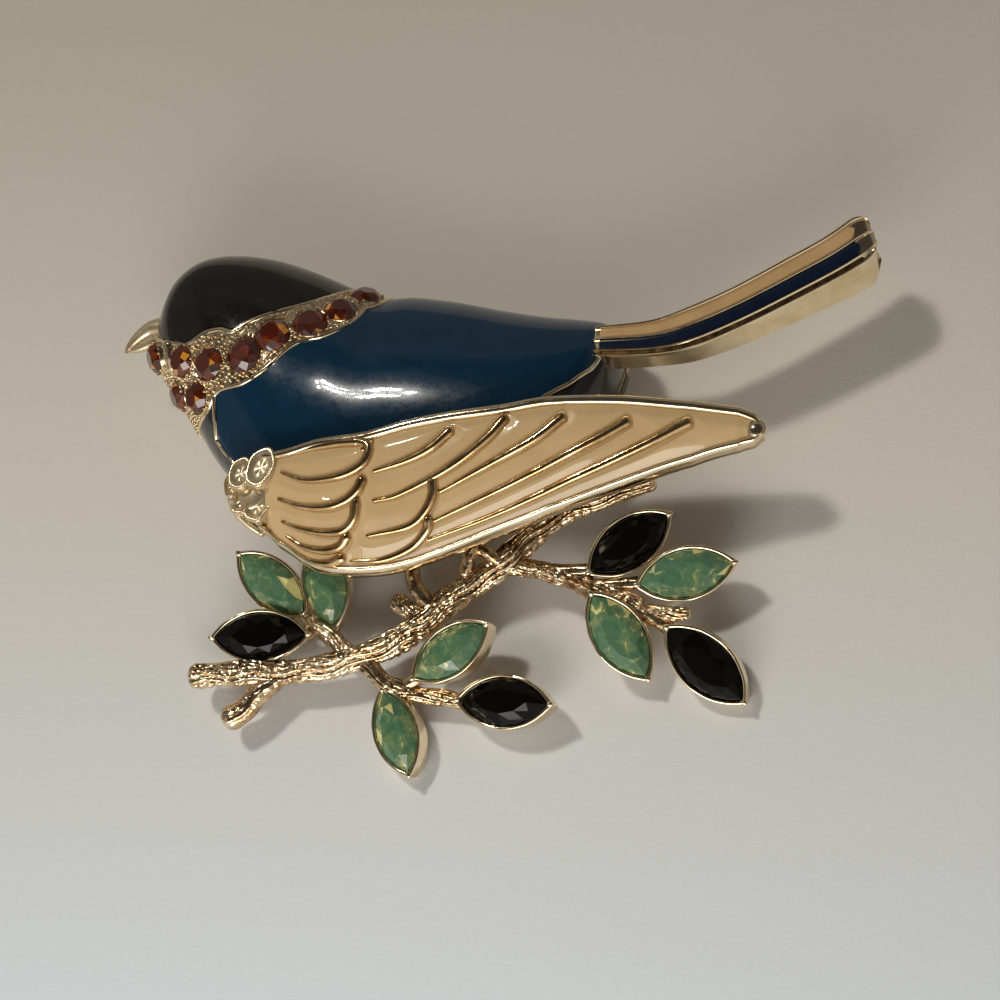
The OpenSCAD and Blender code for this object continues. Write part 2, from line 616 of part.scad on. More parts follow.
module branch() {
    tube(branch_path(STEM, stem_d));
    tube(branch_path(STUB, stem_d));
    tube(branch_path(LEFT_TWIG, twig_d));
    tube(branch_path(MIDDLE_TWIG, twig_d));
    tube(branch_path(RIGHT_TWIG, twig_d));
    tube(branch_path(KNOB, twig_d));
    tube(branch_path(SPUR, twig_d));
    for (k = [0:len(LEAVES) - 1]) {
        leaf_cup(k);
        leaf_stalk(k, LEAF_ROOTS[k]);
    }
}
module legs() {
    for (path = LEGS) tube(branch_path(path, leg_d));
}

// The beak in two halves that meet on a mouth line
beak_x = body_west + 0.6;
beak_y = body_mid + 0.19 * body_wide;
beak_z = dome_foot + 0.32 * body_rise;
beak_tip = 0.4;
beak_drop = 2.1;
module beak_half(drop, deep, grow) {
    hull() {
        translate([beak_x, beak_y + drop, beak_z]) sphere(d = deep + 2 * grow, $fn = 10);
        translate([beak_x - 0.5 * beak_len, beak_y + 0.8 * drop - 0.3, beak_z])
            sphere(d = 0.72 * deep + 2 * grow, $fn = 10);
        translate([beak_x - beak_len, beak_y - beak_drop, beak_z])
            sphere(d = beak_tip + 2 * grow, $fn = 8);
    }
}
module beak(grow) {
    beak_half(0.24 * beak_deep, beak_deep, grow);
    beak_half(-0.45 * beak_deep, 0.85 * beak_deep, grow);
}

// Tail sections: the face between two edges, and the wall under them
function tail_at(along, across, z) =
    [tail_west + along * tail_len, tail_mid + across * tail_wide, z];
function tail_edge(k, share, lift) =
    let (r = TAIL[k],
         a = tail_at(r[0], r[1], tail_top + lift), b = tail_at(r[2], r[3], tail_top + lift))
    a + share * (b - a);
tail_rows = len(TAIL);
module tail_block(from, to, high, low) {
    sleeve([for (k = [0:tail_rows - 1])
        [tail_edge(k, from, high), tail_edge(k, to, high),
         tail_edge(k, to, low(k)), tail_edge(k, from, low(k))]]);
}
groove_deep = 0.5;
// Shares across the tail at which its stripes begin and end
CREAM_STRIPE = [0.13, 0.48];
BLUE_STRIPE = [0.56, 0.80];
stripe_start = 1.15;
stripe_stop = 0.4;
module tail() {
    difference() {
        union() {
            tail_block(0, 1, 0, function (k) -TAIL[k][4] * tail_deep);
            for (k = [0:tail_lobes - 1])
                hull()
                    for (out = [0, tail_lobe])
                        translate(tail_edge(tail_rows - 1, (k + 0.5) / tail_lobes,
                                            -0.9 * tail_deep) + [out, 0.3 * out, 0])
                        cylinder(d = tail_wide / tail_lobes - 0.1 * out,
                                 h = 0.9 * tail_deep, $fn = 8);
        }
        tail_groove(CREAM_STRIPE, 0, 1, groove_deep);
        tail_groove(BLUE_STRIPE, 0, 1, groove_deep);
    }
}
// Groove of a stripe, or with a clearance its filling; both stop short of the tail's ends
function stripe_edge(k, share, lift, clear) =
    let (last = tail_rows - 1, a = tail_edge(k, share, lift),
         b = k == 0 ? tail_edge(1, share, lift) : tail_edge(k - 1, share, lift),
         in = (k == 0 ? stripe_start : stripe_stop) + clear)
    k == 0 || k == last ? a + in * unit(b - a) : a;
module tail_groove(stripe, clear, high, deep) {
    side = 1.3 * clear / tail_wide;
    sleeve([for (k = [0:tail_rows - 1])
        [stripe_edge(k, stripe[0] + side, high, clear),
         stripe_edge(k, stripe[1] - side, high, clear),
         stripe_edge(k, stripe[1] - side, -deep, clear),
         stripe_edge(k, stripe[0] + side, -deep, clear)]]);
}
// Room for the tail's root, left by the rump's enamel
module tail_clear() {
    for (back = [0, gap])
        translate([-back, 0, 0])
            tail_block(-gap / tail_wide, 1 + 2 * gap / tail_wide, gap,
                       function (k) -TAIL[k][4] * tail_deep - gap);
}

// Wing rows and its face: smooth between the table's rows
function wing_key(k) = WING[max(0, min(k, wing_rows - 1))];
function wing_row(along) =
    let (k = max(0, min(wing_rows - 2, floor(wing_index(along)))))
    between(wing_key(k - 1), wing_key(k), wing_key(k + 1), wing_key(k + 2),
            wing_index(along) - k);
function wing_index(along) = lookup(along, [for (k = [0:wing_rows - 1]) [WING[k][0], k]]);
function wing_z(along, across) =
    let (r = wing_row(along), s = (r[1] - across) / max(0.01, r[1] - r[3]),
         full = min(1, (r[1] - r[3]) * wing_wide / bulge_full))
    body_top + wing_sit - ridge_rise + wing_fall * (r[2] + (r[4] - r[2]) * s)
        + 4 * wing_bulge * s * (1 - s) * full;
function wing_at(along, across, lift) =
    [wing_west + along * wing_len, wing_mid + across * wing_wide, wing_z(along, across) + lift];

// Grid points of the wing between two distances from its edges
function wing_grid(from, to, edge, lift, nu, nv) = [for (u = [0:nu], v = [0:nv])
    let (along = from + (to - from) * (u < nu ? sin(90 * u / nu) * 0.5 + 0.5 * u / nu : 1),
         r = wing_row(along),
         high = r[1] - edge / wing_wide, low = min(high - 0.01, r[3] + edge / wing_wide),
         mid = (high + low) / 2, across = high + (low - high) * v / nv)
    wing_at(along, r[1] - r[3] < 2 * edge / wing_wide + 0.01 ? mid : across, lift)];
module wing_sheet(from, to, edge, high, low, nu, nv) {
    slab(wing_grid(from, to, edge, high, nu, nv), wing_grid(from, to, edge, low, nu, nv),
         nu, nv);
}
enamel_west = 0.032;
enamel_east = 0.955;
// Width of a ridge at its fine end
ridge_end = 0.6;
module wing_floor() {
    difference() {
        wing_sheet(0, 1, 0, ridge_rise, -wing_thick, 20, 3);
        wing_sheet(enamel_west, enamel_east, wing_rim, 2, -wing_enamel_deep, 18, 3);
    }
}
// A raised bar along a ridge's points, grown by a side clearance
module ridge(points, grow, high, low) {
    last = len(points) - 1;
    sleeve([for (k = [0:last])
        let (before = points[max(0, k - 1)], after = points[min(last, k + 1)],
             way = unit([(after[0] - before[0]) * wing_len, (after[1] - before[1]) * wing_wide, 0]),
             half = (k == last ? ridge_end : 1) * ridge_wide / 2 + grow,
             out = half * [-way[1], way[0], 0],
             at = wing_at(points[k][0], points[k][1], 0)
                  + (k == 0 ? -grow : k == last ? grow : 0) * way)
        [at + out + [0, 0, low], at + out + [0, 0, high],
         at - out + [0, 0, high], at - out + [0, 0, low]]]);
}
module petals(grow) {
    for (p = PETALS)
        hull() {
            translate(wing_at(p[0], p[1], -petal_sunk))
                sphere(d = petal_d * p[2] + 2 * grow, $fn = 8);
            translate(wing_at(p[0], p[1], -wing_thick - grow))
                cylinder(d = petal_d * p[2] + 2 * grow, h = petal_sunk, $fn = 8);
        }
}
module posts(d, down) {
    for (p = POSTS)
        translate([0, 0, -down])
            translate(wing_at(p[0], p[1], -wing_thick))
            cylinder(d = d, h = down + 0.1 * wing_thick, $fn = 12);
}

module wing_casting() {
    color(GOLD) {
        wing_floor();
        for (points = RIDGES) ridge(points, 0, ridge_rise - 0.05, -wing_enamel_deep - 0.1);
        petals(0);
        posts(post_d, post_long);
    }
}
module wing_enamel() {
    color(CREAM)
        difference() {
            wing_sheet(enamel_west + 0.004, enamel_east - 0.004, wing_rim + 1.5 * gap, 0,
                       gap - wing_enamel_deep, 18, 3);
            for (points = RIDGES) ridge(points, gap, 2, -wing_enamel_deep - 0.2);
            petals(1.5 * gap);
        }
}

// The body with a bed cut for each field of enamel
module body_shell() {
    difference() {
        union() {
            body_solid(0, back_lift, LOFT_ROWS);
            collar();
            back_line();
            tail();
        }
        cap_field(gap);
        back_field(gap);
        breast_field(gap);
        rump_field(gap);
    }
}
module bird_casting() {
    color(GOLD)
        difference() {
            union() {
                body_shell();
                beak(0);
                branch();
                legs();
            }
            difference() {
                body_solid(enamel + wall, back_lift - 2, CAVITY_ROWS);
                bridges();
            }
            for (k = [0:len(COLLAR) - 1]) collar_seat(k);
            for (k = [0:len(LEAVES) - 1]) leaf_seat(k);
            posts(post_d + 2 * gap, post_long + wall);
        }
}
// Bridges across the hollow back that carry the pin
module bridges() {
    for (side = [-1, 1])
        translate([pin_x + side * (bar_len / 2 - block_len / 2) - bridge_wide / 2,
                   body_mid - body_wide, back_lift])
            cube([bridge_wide, 2 * body_wide, bridge_deep]);
}

module cap_enamel() {
    color(BLACK)
        difference() {
            cap_field(0);
            hull() beak(gap);
        }
}
module back_enamel() {
    color(TEAL) back_field(0);
}
module breast_enamel() {
    color(SLATE) breast_field(0);
}
module rump_enamel() {
    color(SLATE)
        difference() {
            rump_field(0);
            tail_clear();
        }
}
module tail_cream_enamel() {
    color(CREAM) tail_groove(CREAM_STRIPE, gap, 0, groove_deep - gap);
}
module tail_blue_enamel() {
    color(TEAL) tail_groove(BLUE_STRIPE, gap, 0, groove_deep - gap);
}

// Bar, hinge block, catch block and stem as one plain piece
bar_top = back_lift - gap / 2;
module pin_back() {
    color(GOLD) {
        translate([pin_x - bar_len / 2, pin_y - bar_wide / 2, bar_top - bar_thick])
            cube([bar_len, bar_wide, bar_thick]);
        for (side = [-1, 1])
            translate([pin_x + side * (bar_len / 2 - block_len / 2) - block_len / 2,
                       pin_y - bar_wide / 2, 0])
                cube([block_len, bar_wide, bar_top - bar_thick / 2]);
        translate([pin_x - bar_len / 2 + block_len / 2, pin_y, 0.5 + pin_d / 2])
            rotate([0, 90, 0])
            cylinder(d = pin_d, h = bar_len - block_len, $fn = 24);
    }
}

bird_casting();
wing_casting();
cap_enamel();
back_enamel();
breast_enamel();
rump_enamel();
wing_enamel();
tail_cream_enamel();
tail_blue_enamel();
pin_back();
for (k = [0:len(LEAVES) - 1])
    leaf_stone(k);
for (k = [0:len(COLLAR) - 1])
    collar_stone(k);
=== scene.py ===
"""Looks of the bird brooch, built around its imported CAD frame.

Lengths are millimetres until a mesh is made; the tables hold shares of the named sizes, as the
part's source does. The brooch lies face up: X runs from beak to tail, Y to the bird's back.
"""
import bpy
import bmesh
import math
import numpy as np
from mathutils import Matrix, Vector


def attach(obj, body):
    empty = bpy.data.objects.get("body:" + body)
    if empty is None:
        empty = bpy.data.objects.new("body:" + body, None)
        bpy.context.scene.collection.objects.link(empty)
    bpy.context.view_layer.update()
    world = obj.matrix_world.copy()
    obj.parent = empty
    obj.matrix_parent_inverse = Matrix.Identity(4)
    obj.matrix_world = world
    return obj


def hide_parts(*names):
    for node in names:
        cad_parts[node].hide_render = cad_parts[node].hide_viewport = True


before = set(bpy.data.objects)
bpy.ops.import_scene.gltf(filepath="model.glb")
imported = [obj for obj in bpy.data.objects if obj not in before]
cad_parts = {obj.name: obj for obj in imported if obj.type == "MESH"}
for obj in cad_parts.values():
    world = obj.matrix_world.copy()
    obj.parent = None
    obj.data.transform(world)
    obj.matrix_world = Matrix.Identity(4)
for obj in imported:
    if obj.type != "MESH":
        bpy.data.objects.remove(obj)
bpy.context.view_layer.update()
MM = 0.001

# ------------------------------------------------------------------ sizes, as in the part's source
body_len, body_wide, body_rise = 48.0, 30.0, 7.5
back_lift, rim_deep, wall, enamel = 3.4, 0.9, 1.2, 0.7
body_west, body_mid = -34.1, 11.3
dome_foot = back_lift + rim_deep
body_top = dome_foot + body_rise
thin_half = 3.0
stone_d, seat_deep, collar_proud = 2.75, 1.05, 0.12
tail_len, tail_wide, tail_deep, tail_top = 24.6, 4.4, 3.0, 10.0
tail_west, tail_mid, tail_lobe = 12.4, 13.2, 0.6
wing_len, wing_wide, wing_thick = 46.0, 12.0, 0.85
wing_sit, wing_fall, wing_bulge, bulge_full = 1.45, 4.6, 1.4, 9.0
wing_rim, lower_share, ridge_rise, ridge_wide = 1.0, 0.6, 0.35, 0.6   # a narrower lower rim
wing_west, wing_mid = -18.6, 0.3
branch_len, branch_wide, branch_lift = 42.0, 22.0, 3.6
branch_west, branch_south = -25.1, -17.1
stem_d, twig_d, leg_d = 2.0, 1.4, 1.3
leaf_len, leaf_wide, leaf_crown, leaf_sunk, cup_deep = 8.2, 4.1, 0.9, 1.1, 2.0
pin_x, bar_len, block_len = -3.6, 31.0, 3.2
bridge_wide, bridge_deep = 2.6, 1.3

# along, back, breast, crown shift, rise
BODY = np.array([
    [0.000, 0.180, 0.180, 0.000, 0.00], [0.008, 0.263, 0.100, 0.010, 0.34],
    [0.025, 0.330, 0.040, 0.027, 0.58], [0.056, 0.407, -0.017, 0.040, 0.80],
    [0.104, 0.460, -0.113, 0.053, 0.94], [0.169, 0.473, -0.253, 0.067, 1.00],
    [0.248, 0.457, -0.373, 0.060, 1.02], [0.331, 0.413, -0.440, 0.033, 1.01],
    [0.415, 0.353, -0.480, 0.013, 1.00], [0.481, 0.310, -0.497, 0.000, 1.00],
    [0.556, 0.310, -0.500, 0.000, 1.01], [0.648, 0.287, -0.493, 0.000, 1.02],
    [0.748, 0.250, -0.467, 0.000, 1.01], [0.835, 0.223, -0.387, 0.000, 0.97],
    [0.908, 0.207, -0.270, 0.000, 0.90], [0.955, 0.190, -0.137, 0.000, 0.78],
    [0.979, 0.153, -0.037, 0.000, 0.56], [0.990, 0.067, 0.067, 0.000, 0.00]])
# Seams between the body's fields: along, across
CAP_SEAM = [
    [0.000, 0.170], [0.050, 0.110], [0.088, 0.088], [0.126, 0.071], [0.165, 0.097],
    [0.200, 0.104], [0.227, 0.094], [0.254, 0.120], [0.288, 0.149], [0.337, 0.185],
    [0.392, 0.241], [0.433, 0.310], [0.455, 0.345]]
NAPE_SEAM = [
    [0.125, -0.167], [0.156, -0.155], [0.180, -0.138], [0.194, -0.107], [0.212, -0.090],
    [0.261, -0.079], [0.299, -0.048], [0.324, -0.010], [0.349, 0.034], [0.372, 0.063],
    [0.415, 0.088], [0.456, 0.137], [0.477, 0.209], [0.496, 0.235], [0.510, 0.300]]
BACK_SEAM = [
    [0.190, -0.215], [0.248, -0.310], [0.331, -0.370], [0.448, -0.360], [0.594, -0.295],
    [0.719, -0.255], [0.823, -0.225], [0.866, -0.140], [0.888, -0.113], [0.913, -0.085],
    [0.935, -0.050], [0.955, -0.013], [0.967, 0.050], [0.975, 0.160]]
cap_west, cap_east, back_west, back_east = 0.006, 0.4505, 0.196, 0.9652
breast_west, breast_east, rump_west, rump_east = 0.127, 0.330, 0.868, 0.9893
collar_west, collar_east = 0.012, 0.500
edge_angle = 4.0
nape_fall, nape_west, nape_east = 0.4, 0.28, 0.43     # the crest falls behind the nape
# along, across, size, seat
COLLAR = [
    [0.030, 0.085, 0.90, 0.12], [0.112, 0.028, 0.92, 0.03], [0.182, -0.003, 1.00, 0.03],
    [0.263, 0.013, 1.06, 0.03], [0.315, 0.077, 1.02, 0.03], [0.383, 0.131, 0.96, 0.03],
    [0.433, 0.190, 0.78, 0.03], [0.463, 0.272, 0.64, 0.05], [0.094, -0.052, 0.76, 0.08],
    [0.152, -0.092, 0.78, 0.03]]
# upper along, upper across, lower along, lower across, depth
TAIL = np.array([
    [-0.035, 0.34, -0.035, -0.34, 0.94], [0.170, 0.46, 0.190, -0.34, 0.66],
    [0.310, 0.75, 0.340, -0.18, 0.70], [0.470, 1.18, 0.515, 0.25, 0.78],
    [0.645, 1.76, 0.705, 0.82, 0.88], [0.790, 2.26, 0.860, 1.32, 0.96],
    [0.908, 2.80, 0.968, 1.72, 1.00]])
# along, upper across, upper drop, lower across, lower drop
WING = np.array([
    [0.000, 0.155, -0.36, -0.420, -0.98], [0.045, 0.155, -0.30, -0.540, -1.02],
    [0.130, 0.225, -0.17, -0.720, -1.06], [0.228, 0.258, -0.07, -0.745, -1.06],
    [0.318, 0.345, -0.02, -0.695, -1.02], [0.405, 0.405, 0.00, -0.575, -0.98],
    [0.505, 0.455, 0.00, -0.425, -0.92], [0.592, 0.519, -0.04, -0.290, -0.86],
    [0.731, 0.542, -0.17, -0.090, -0.80], [0.865, 0.525, -0.38, 0.085, -0.73],
    [0.953, 0.500, -0.54, 0.186, -0.69], [0.984, 0.457, -0.61, 0.222, -0.67],
    [1.000, 0.385, -0.65, 0.275, -0.66]])
# Feather ridges, thick end first: along, across
RIDGES = [
    [[0.208, 0.190], [0.241, 0.142], [0.237, 0.025], [0.208, -0.058], [0.165, -0.100],
     [0.110, -0.108], [0.058, -0.042]],
    [[0.234, -0.120], [0.224, -0.190], [0.198, -0.267], [0.155, -0.308], [0.102, -0.292],
     [0.054, -0.233]],
    [[0.222, -0.275], [0.215, -0.392], [0.191, -0.467], [0.148, -0.475], [0.100, -0.442],
     [0.060, -0.385]],
    [[0.200, -0.508], [0.185, -0.567], [0.150, -0.592], [0.105, -0.558], [0.068, -0.480]],
    [[0.187, -0.640], [0.160, -0.672], [0.128, -0.662], [0.095, -0.610]],
    [[0.406, 0.242], [0.370, 0.117], [0.324, 0.025], [0.257, -0.058]],
    [[0.513, 0.333], [0.478, 0.175], [0.409, -0.025], [0.311, -0.217], [0.258, -0.267]],
    [[0.376, -0.133], [0.376, -0.217], [0.359, -0.333], [0.324, -0.433], [0.243, -0.500]],
    [[0.365, -0.383], [0.361, -0.450], [0.328, -0.567], [0.270, -0.648], [0.205, -0.660]],
    [[0.626, 0.350], [0.576, 0.192], [0.502, 0.033], [0.391, -0.192]],
    [[0.748, 0.333], [0.687, 0.192], [0.548, -0.083], [0.378, -0.383]],
    [[0.861, 0.350], [0.776, 0.175], [0.641, -0.067], [0.500, -0.308], [0.363, -0.508]],
    [[0.216, 0.178], [0.172, 0.172], [0.112, 0.140], [0.060, 0.098]]]
POSTS = [[0.160, -0.190], [0.500, 0.100]]
# along, across, height, thickness
STEM = [
    [0.000, 0.000, 0.86, 1.05], [0.055, 0.012, 0.86, 0.95], [0.107, 0.020, 0.85, 1.12],
    [0.224, 0.032, 0.85, 0.98], [0.312, 0.060, 0.88, 1.06], [0.393, 0.112, 0.92, 1.00],
    [0.467, 0.180, 0.95, 1.12], [0.529, 0.275, 0.98, 1.06], [0.560, 0.335, 1.00, 1.18],
    [0.621, 0.420, 1.02, 1.02], [0.693, 0.530, 1.08, 1.16], [0.757, 0.650, 1.12, 0.92],
    [0.822, 0.738, 1.16, 0.86], [0.898, 0.792, 1.20, 0.80], [0.992, 0.858, 1.26, 0.74]]
STUB = [
    [0.215, 0.045, 0.80, 0.80], [0.160, -0.050, 0.80, 0.95], [0.126, -0.125, 0.74, 1.00],
    [0.092, -0.168, 0.70, 1.10]]
LEFT_TWIG = [
    [0.360, 0.100, 0.90, 1.10], [0.314, 0.172, 0.85, 1.00], [0.279, 0.215, 0.82, 0.95],
    [0.250, 0.250, 0.78, 1.05]]
MIDDLE_TWIG = [
    [0.398, 0.070, 0.88, 1.15], [0.436, 0.005, 0.80, 1.00], [0.476, -0.024, 0.70, 1.08],
    [0.521, -0.041, 0.62, 0.95], [0.567, -0.046, 0.58, 1.00], [0.611, -0.061, 0.56, 0.86]]
RIGHT_TWIG = [
    [0.655, 0.500, 1.04, 1.15], [0.700, 0.495, 1.05, 1.00], [0.764, 0.482, 1.06, 1.08],
    [0.812, 0.452, 1.07, 1.08], [0.876, 0.420, 1.06, 0.96], [0.923, 0.386, 1.06, 1.00],
    [0.986, 0.340, 1.10, 0.90]]
KNOB = [[0.515, 0.275, 0.96, 1.00], [0.480, 0.305, 0.97, 1.10], [0.452, 0.338, 0.98, 1.20]]
SPUR = [[1.010, 0.320, 1.05, 0.70], [1.060, 0.300, 1.12, 0.85], [1.090, 0.302, 1.15, 0.75]]
LEGS = [
    [[0.500, 0.680, 1.38, 1.10], [0.495, 0.560, 1.45, 1.00], [0.490, 0.455, 1.45, 0.95],
     [0.500, 0.380, 1.36, 1.00], [0.530, 0.320, 1.20, 1.10]],
    [[0.635, 0.700, 1.42, 1.10], [0.628, 0.590, 1.48, 1.00], [0.615, 0.515, 1.42, 0.95],
     [0.605, 0.455, 1.25, 1.00]],
    [[0.620, 0.560, 1.36, 0.75], [0.655, 0.530, 1.45, 0.80], [0.680, 0.500, 1.25, 0.85]]]
# along, across, height, turn, lean, lean to, size, green, stalk
LEAVES = [
    [0.157, 0.397, 1.20, -37.8, 22, -64, 0.97, 1, 1],
    [0.282, 0.407, 1.15, -79.0, 20, -91, 0.98, 1, 1],
    [0.145, 0.171, 1.12, 6.2, 17, -56, 1.04, 0, 1],
    [0.590, 0.117, 1.25, 34.0, 13, -124, 0.97, 1, -1],
    [0.475, -0.199, 0.68, -67.0, 13, -124, 0.93, 1, -1],
    [0.711, -0.070, 0.90, -3.0, 13, -124, 1.03, 0, -1],
    [0.962, 0.577, 1.45, 38.0, 24, -59, 1.00, 0, -1],
    [1.085, 0.458, 1.33, 15.7, 27, -69, 1.00, 1, -1],
    [0.953, 0.203, 1.15, -53.4, 24, -59, 1.02, 1, -1],
    [1.131, 0.111, 0.82, -40.4, 25, -87, 1.06, 0, -1]]
LEAF_ROOTS = [
    LEFT_TWIG[3], LEFT_TWIG[2], LEFT_TWIG[3], MIDDLE_TWIG[2], MIDDLE_TWIG[1], MIDDLE_TWIG[4],
    RIGHT_TWIG[2], RIGHT_TWIG[4], RIGHT_TWIG[3], RIGHT_TWIG[5]]


# ------------------------------------------------------------------ curves and surfaces
def between(a, b, c, d, f):
    """The smooth curve from b to c, with a before them and d after."""
    return 0.5 * (2 * b + (c - a) * f + (2 * a - 5 * b + 4 * c - d) * f * f
                  + (3 * b - a - 3 * c + d) * f * f * f)


def on_keys(keys, i, last):
    """Rows at fractional indices up to last; keys holds a row more before them and after."""
    k = np.clip(np.floor(i).astype(int), 0, last - 1)
    return between(keys[k], keys[k + 1], keys[k + 2], keys[k + 3], (i - k)[..., None])


def through(rows, t):
    """Rows of a table at fractional indices, on a smooth curve through them."""
    rows = np.asarray(rows, float)
    keys = np.vstack([2 * rows[0] - rows[1], rows, 2 * rows[-1] - rows[-2]])
    last = len(rows) - 1
    return on_keys(keys, np.clip(np.asarray(t, float), 0, last), last)


def smooth(rows, step):
    """Points on a smooth curve through rows, about a step apart in their first three columns."""
    rows = np.asarray(rows, float)
    dense = through(rows, np.linspace(0, len(rows) - 1, 40 * len(rows)))
    run = np.concatenate([[0], np.cumsum(np.linalg.norm(np.diff(dense[:, :3], axis=0), axis=1))])
    at = np.linspace(0, run[-1], max(4, int(run[-1] / step) + 1))
    return np.stack([np.interp(at, run, dense[:, c]) for c in range(rows.shape[1])], 1)


def unit(v):
    return v / np.maximum(np.linalg.norm(v, axis=-1, keepdims=True), 1e-12)


def ramp(x, low, high):
    """0 below low, 1 above high, and a smooth step between."""
    x = np.clip((x - low) / (high - low), 0, 1)
    return x * x * (3 - 2 * x)


def full_turn(count):
    """Angles that share out a full turn."""
    return np.linspace(0, 2 * math.pi, count, endpoint=False)


def turned(row):
    """A body row mirrored past the body's end, so that the curve closes there."""
    return [row[0], row[2], row[1], row[3], -row[4]]


BODY_KEYS = np.vstack([turned(BODY[1]), BODY, turned(BODY[-2]), turned(BODY[-2])])
LAST = len(BODY) - 1


def body_row(i):
    return on_keys(BODY_KEYS, np.asarray(i, float), LAST)


ROW_DENSE = np.linspace(0, LAST, 6000)
ALONG_DENSE = np.maximum.accumulate(body_row(ROW_DENSE)[:, 0])


def row_at(along):
    return np.interp(along, ALONG_DENSE, ROW_DENSE)


def inset(size, deep):
    """A half size at a depth below the face, which thins out towards the body's ends."""
    return size - deep * np.minimum(1, size / thin_half)


def dome(i, angle, deep=0.0):
    """A point of the body's dome: row index, angle from the back edge, depth below the face."""
    i, angle, deep = np.broadcast_arrays(np.asarray(i, float), angle, deep)
    r = body_row(i)
    a = np.radians(angle)
    half = (r[..., 1] - r[..., 2]) / 2 * body_wide
    x = body_len * (r[..., 0] - 0.5) * (1 - deep / (body_len / 2))
    fall = nape_fall * ramp(r[..., 0], nape_west, nape_east) * np.sin(a) ** 2
    return np.stack([
        body_west + body_len / 2 + x,
        body_mid + (r[..., 1] + r[..., 2]) / 2 * body_wide + inset(half, deep) * np.cos(a)
        + r[..., 3] * body_wide * np.sin(a) ** 2,
        dome_foot + inset(r[..., 4] * body_rise, deep) * np.sin(a) - fall], -1)


def angle_at(i, across):
    """The angle at which the dome reaches a place across the body."""
    r = body_row(i)
    half = (r[..., 1] - r[..., 2]) / 2
    off = across - (r[..., 1] + r[..., 2]) / 2
    c = r[..., 3]
    safe = np.where(np.abs(c) < 1e-4, 1.0, c)
    root = np.sqrt(np.maximum(0, half * half - 4 * c * (off - c)))
    turn = np.where(np.abs(c) < 1e-4, off / np.maximum(half, 1e-9), (half - root) / (2 * safe))
    return np.degrees(np.arccos(np.clip(turn, -1, 1)))


def seam_curve(seam):
    return through(seam, np.linspace(0, len(seam) - 1, 30 * len(seam)))


def seam_angle(i, seam):
    line = seam_curve(seam)
    return angle_at(i, np.interp(body_row(i)[..., 0], line[:, 0], line[:, 1]))


def dome_normal(i, angle):
    return unit(np.cross(dome(i + 0.02, angle) - dome(i - 0.02, angle),
                         dome(i, angle - 1) - dome(i, angle + 1)))


def dome_course(i, angle):
    """Points of the dome and their normals, six numbers a row."""
    return np.column_stack([dome(i, angle), dome_normal(i, angle)])


def degrees_wide(i, wide):
    """Degrees that a width on the dome covers at a row."""
    r = body_row(i)
    return np.degrees(wide / np.maximum(1.5, (r[..., 1] - r[..., 2]) / 2 * body_wide))


def wing_row(along):
    keys = np.vstack([WING[0], WING, WING[-1], WING[-1]])
    return on_keys(keys, np.interp(along, WING[:, 0], np.arange(len(WING))), len(WING) - 1)


def wing_at(along, across, lift=0.0):
    """A point above the wing's enamel, at shares of its length and width."""
    along, across, lift = np.broadcast_arrays(np.asarray(along, float), across, lift)
    r = wing_row(along)
    broad = np.maximum(0.01, r[..., 1] - r[..., 3])
    s = (r[..., 1] - across) / broad
    full = np.minimum(1, (r[..., 1] - r[..., 3]) * wing_wide / bulge_full)
    z = (body_top + wing_sit - ridge_rise
         + wing_fall * (r[..., 2] + (r[..., 4] - r[..., 2]) * s)
         + 4 * wing_bulge * s * (1 - s) * full)
    return np.stack([wing_west + along * wing_len, wing_mid + across * wing_wide, z + lift], -1)


def branch_at(p):
    p = np.asarray(p, float)
    return np.stack([branch_west + p[..., 0] * branch_len,
                     branch_south + p[..., 1] * branch_wide, p[..., 2] * branch_lift], -1)


def lumps(seed, count, low, high):
    """A bumpy function of a length and an angle, the same on every run."""
    rng = np.random.default_rng(seed)
    waves = [(rng.uniform(low, high), rng.integers(1, 5), rng.uniform(0, 2 * math.pi),
              rng.uniform(0.5, 1)) for _ in range(count)]

    def value(s, t):
        return sum(a * np.sin(2 * math.pi * s / w + m * t + p) for w, m, p, a in waves) / count
    return value


